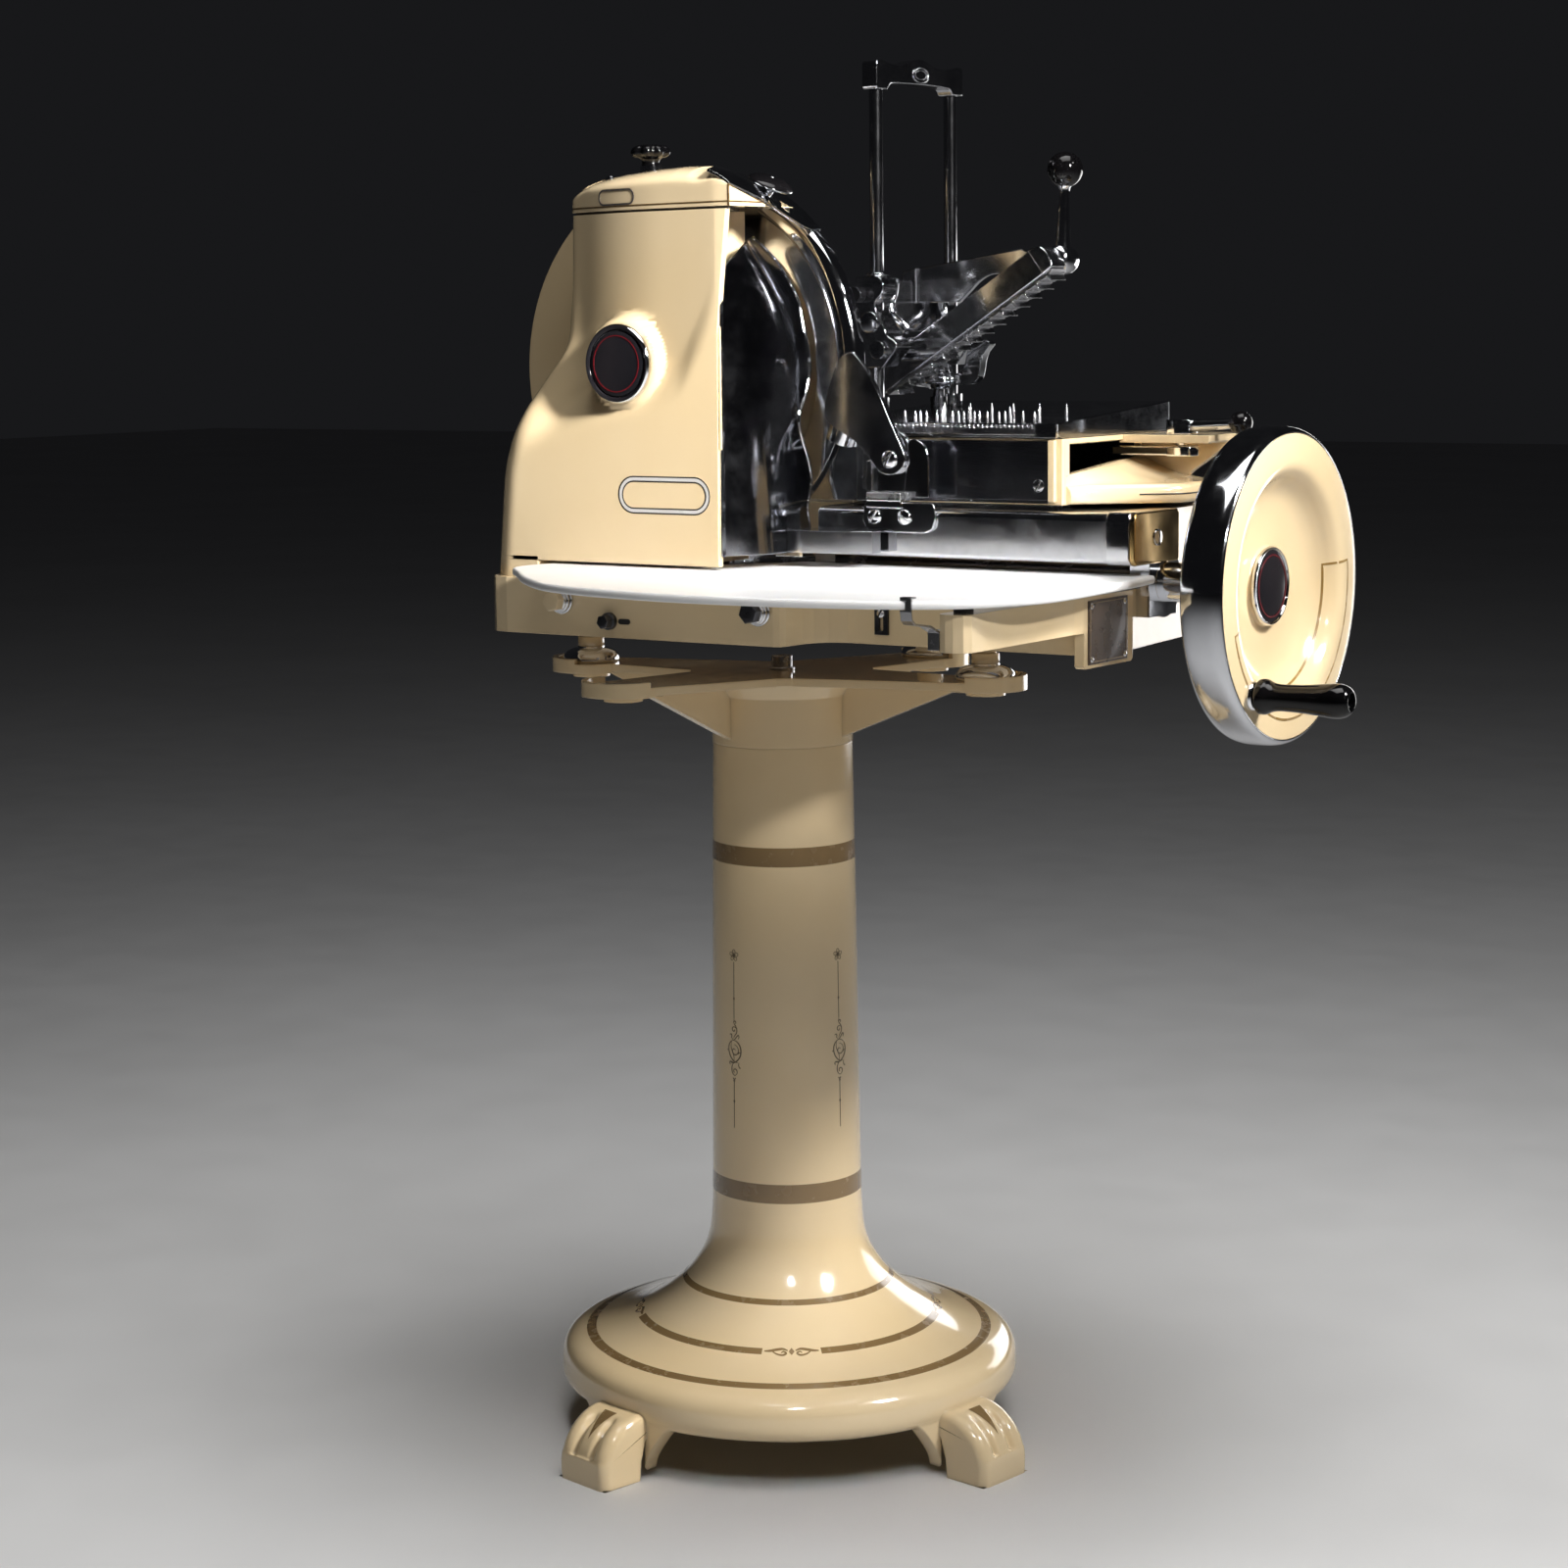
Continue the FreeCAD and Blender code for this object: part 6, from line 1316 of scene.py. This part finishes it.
bo = Sh()
for x, z, m in ((-142, 886, mat_cream), (100, 884, mat_dark_steel)):
    for y0, r in ((-190.9, 14.2), (-194.9, 12.8), (-198.0, 11.4)):
        bo.rev([(6, y0), (r - 0.8, y0), (r, y0 + 0.8), (r, y0 + 2.6), (r - 0.8, y0 + 3.4), (6, y0 + 3.4)], (x, z), "y", mat_chrome, n=56, closed=True)
    hexa(bo, x, z, 19, -208, -197.6, m)
hexa(bo, -82, 867, 13, -201, -192, mat_dark_steel)
bo.rev([(0, -192.4), (8.0, -192.4), (8.8, -191.6), (8.8, -187.1), (0, -187.1)], (-82, 867), "y", mat_dark_steel, n=40)
# painted shade: a dark stadium stands for the shadow in a slotted hole beside the small bolt
bo.prism(stadium(-64, 867, 7.4, 2.7, n=8), "y", -187.7, -186.8, mat_slot_shade)
put("base_bolts", bo, "stand", ("front_bolts",), angle=30)

# domed machine feet and their threaded studs
mf_ = Sh()
for x, y in ((230.5, 24.7), (-230.5, -24.7), (61.0, 195.3)):
    mf_.rev([(0, 804.1), (29.6, 804.1), (30.4, 805.4), (30.4, 808), (29.0, 811.6), (25.4, 815.2), (19.6, 817.8), (14.5, 818.8), (14.2, 820.4), (0, 820.4)], (x, y), "z", mat_chrome, n=64)
    mf_.rev([(13.6, 820.2), (14.2, 821.2), (14.2, 829.6), (13.4, 830.6), (11.0, 831.0)] + [(11.0 + (0.9 if k % 2 else 0.0), 831.6 + 0.9 * k) for k in range(20)] + [(11.0, 850.2), (0, 850.2)], (x, y), "z", mat_cream, n=48)
put("machine_feet_domes", mf_, "stand", ("machine_feet",), angle=40)

# plate at the right side, bare
pt = Sh()
pt.box(431.05, 432.4, -130, -54, 843, 903, mat_plate)
for y0, y1, z0, z1 in ((-127.6, -56.4, 845.0, 845.9), (-127.6, -56.4, 900.1, 901.0), (-127.6, -126.7, 845.0, 901.0), (-57.3, -56.4, 845.0, 901.0)):
    pt.box(432.2, 432.62, y0, y1, z0, z1, mat_plate_line)
for y in (-124.6, -59.4):
    for z in (848, 898):
        pt.rev([(0, 434.0), (1.6, 433.8), (2.8, 433.0), (3.0, 432.2)], (y, z), "x", mat_chrome_soft, n=20)
put("side_plate", pt, "stand", ("blank_plate",), angle=40)

# ------------------------------------------------------------------ stage, light, camera
S = bpy.context.scene
S.view_settings.view_transform = "Standard"
S.view_settings.look = "None"


def stage_mesh(name, verts, faces, mat):
    me = bpy.data.meshes.new(name)
    me.from_pydata(verts, [], faces)
    o = bpy.data.objects.new(name, me)
    S.collection.objects.link(o)
    me.materials.append(mat)
    return o


m_floor, ntf, bf = new_mat("floor_pale")
ntf.links.new(mixc(ntf, remap(ntf, noise(ntf, 1.2, 3.0, 0.5), 0.0, 1.0), (0.72, 0.715, 0.70), (0.76, 0.755, 0.74)), bf.inputs["Base Color"])
ntf.links.new(remap(ntf, noise(ntf, 8.0, 3.0, 0.5), 0.55, 0.7), bf.inputs["Roughness"])
R = 24.0
floor_obj = stage_mesh("floor", [(-R, -R, 0), (R, -R, 0), (R, R, 0), (-R, R, 0)], [(0, 1, 2, 3)], m_floor)

w = bpy.data.worlds.new("studio")
S.world = w
w.use_nodes = True
nw = w.node_tree
bg = nw.nodes["Background"]
tcw = node(nw, "ShaderNodeTexCoord")
dt = node(nw, "ShaderNodeVectorMath", operation="DOT_PRODUCT")
dt.inputs[1].default_value = (-0.56, 0.80, -0.22)
nw.links.new(tcw.outputs["Generated"], dt.inputs[0])
nw.links.new(mixc(nw, remap(nw, dt.outputs["Value"], 0.0, 1.0, -0.3, 0.9), (0.007, 0.007, 0.0078), (0.009, 0.0092, 0.0102)), bg.inputs["Color"])
bg.inputs["Strength"].default_value = 1.0


def area(name, loc, aim, size, power, color=(1, 1, 1), spread=180):
    d = bpy.data.lights.new(name, "AREA")
    d.shape = "RECTANGLE"
    d.size, d.size_y = size
    d.energy = power
    d.color = color
    d.spread = math.radians(spread)
    o = bpy.data.objects.new(name, d)
    S.collection.objects.link(o)
    o.location = loc
    o.rotation_mode = "QUATERNION"
    o.rotation_quaternion = (Vector(aim) - Vector(loc)).to_track_quat("-Z", "Y")
    return o


area("top_box", (0.45, -0.30, 3.1), (0.35, -0.20, 0.0), (1.7, 1.4), 13.0, (1.0, 0.99, 0.98), 100)
beam_a = area("front_right", (2.40, -0.98, 2.35), (-0.10, -0.05, 1.24), (0.45, 0.6), 4.3, (1.0, 0.985, 0.965), 15)
beam_b = area("right_side", (1.95, 0.10, 2.35), (0.42, 0, 0.93), (0.5, 0.6), 2.0, (1.0, 0.985, 0.965), 19)
area("foot_light", (1.25, -1.75, 2.6), (-0.08, 0.0, 0.03), (0.35, 0.35), 0.13, (1.0, 0.99, 0.97), 11)
wash = area("floor_wash", (0.9, -0.5, 3.6), (0.55, -0.25, 0.0), (2.4, 2.4), 96.0, (0.975, 0.98, 1.0), 180)
back_fill = area("back_fill", (0.15, 2.8, 0.85), (0.15, 0.0, 0.95), (2.0, 0.9), 13.0, (1.0, 0.99, 0.98), 140)

# the two side lamps are flagged off the floor
lit_parts = bpy.data.collections.new("lamp_flag")
lit_parts.objects.link(floor_obj)
for lamp in (beam_a, beam_b, back_fill):
    lamp.light_linking.receiver_collection = lit_parts
lit_parts.collection_objects[0].light_linking.link_state = "EXCLUDE"
floor_only = bpy.data.collections.new("lamp_floor")
floor_only.objects.link(floor_obj)
wash.light_linking.receiver_collection = floor_only

cam = bpy.data.cameras.new("camera")
co = bpy.data.objects.new("camera", cam)
S.collection.objects.link(co)
yaw, pit, rol = math.radians(35.38), math.radians(7.22), math.radians(0.76)
fwd = Vector((-math.sin(yaw) * math.cos(pit), math.cos(yaw) * math.cos(pit), -math.sin(pit)))
r0 = Vector((math.cos(yaw), math.sin(yaw), 0))
d0 = fwd.cross(r0)
rr = r0 * math.cos(rol) + d0 * math.sin(rol)
dd = -r0 * math.sin(rol) + d0 * math.cos(rol)
mw = Matrix.Identity(4)
for i, v in enumerate((rr, -dd, -fwd)):
    for j in range(3):
        mw[j][i] = v[j]
mw.translation = M(1864.9, -2764.8, 1169.0)
co.matrix_world = mw
cam.sensor_width = 36.0
cam.lens = 73.87
cam.shift_x, cam.shift_y = 0.05, -0.0375
cam.clip_start, cam.clip_end = 0.05, 50
S.camera = co
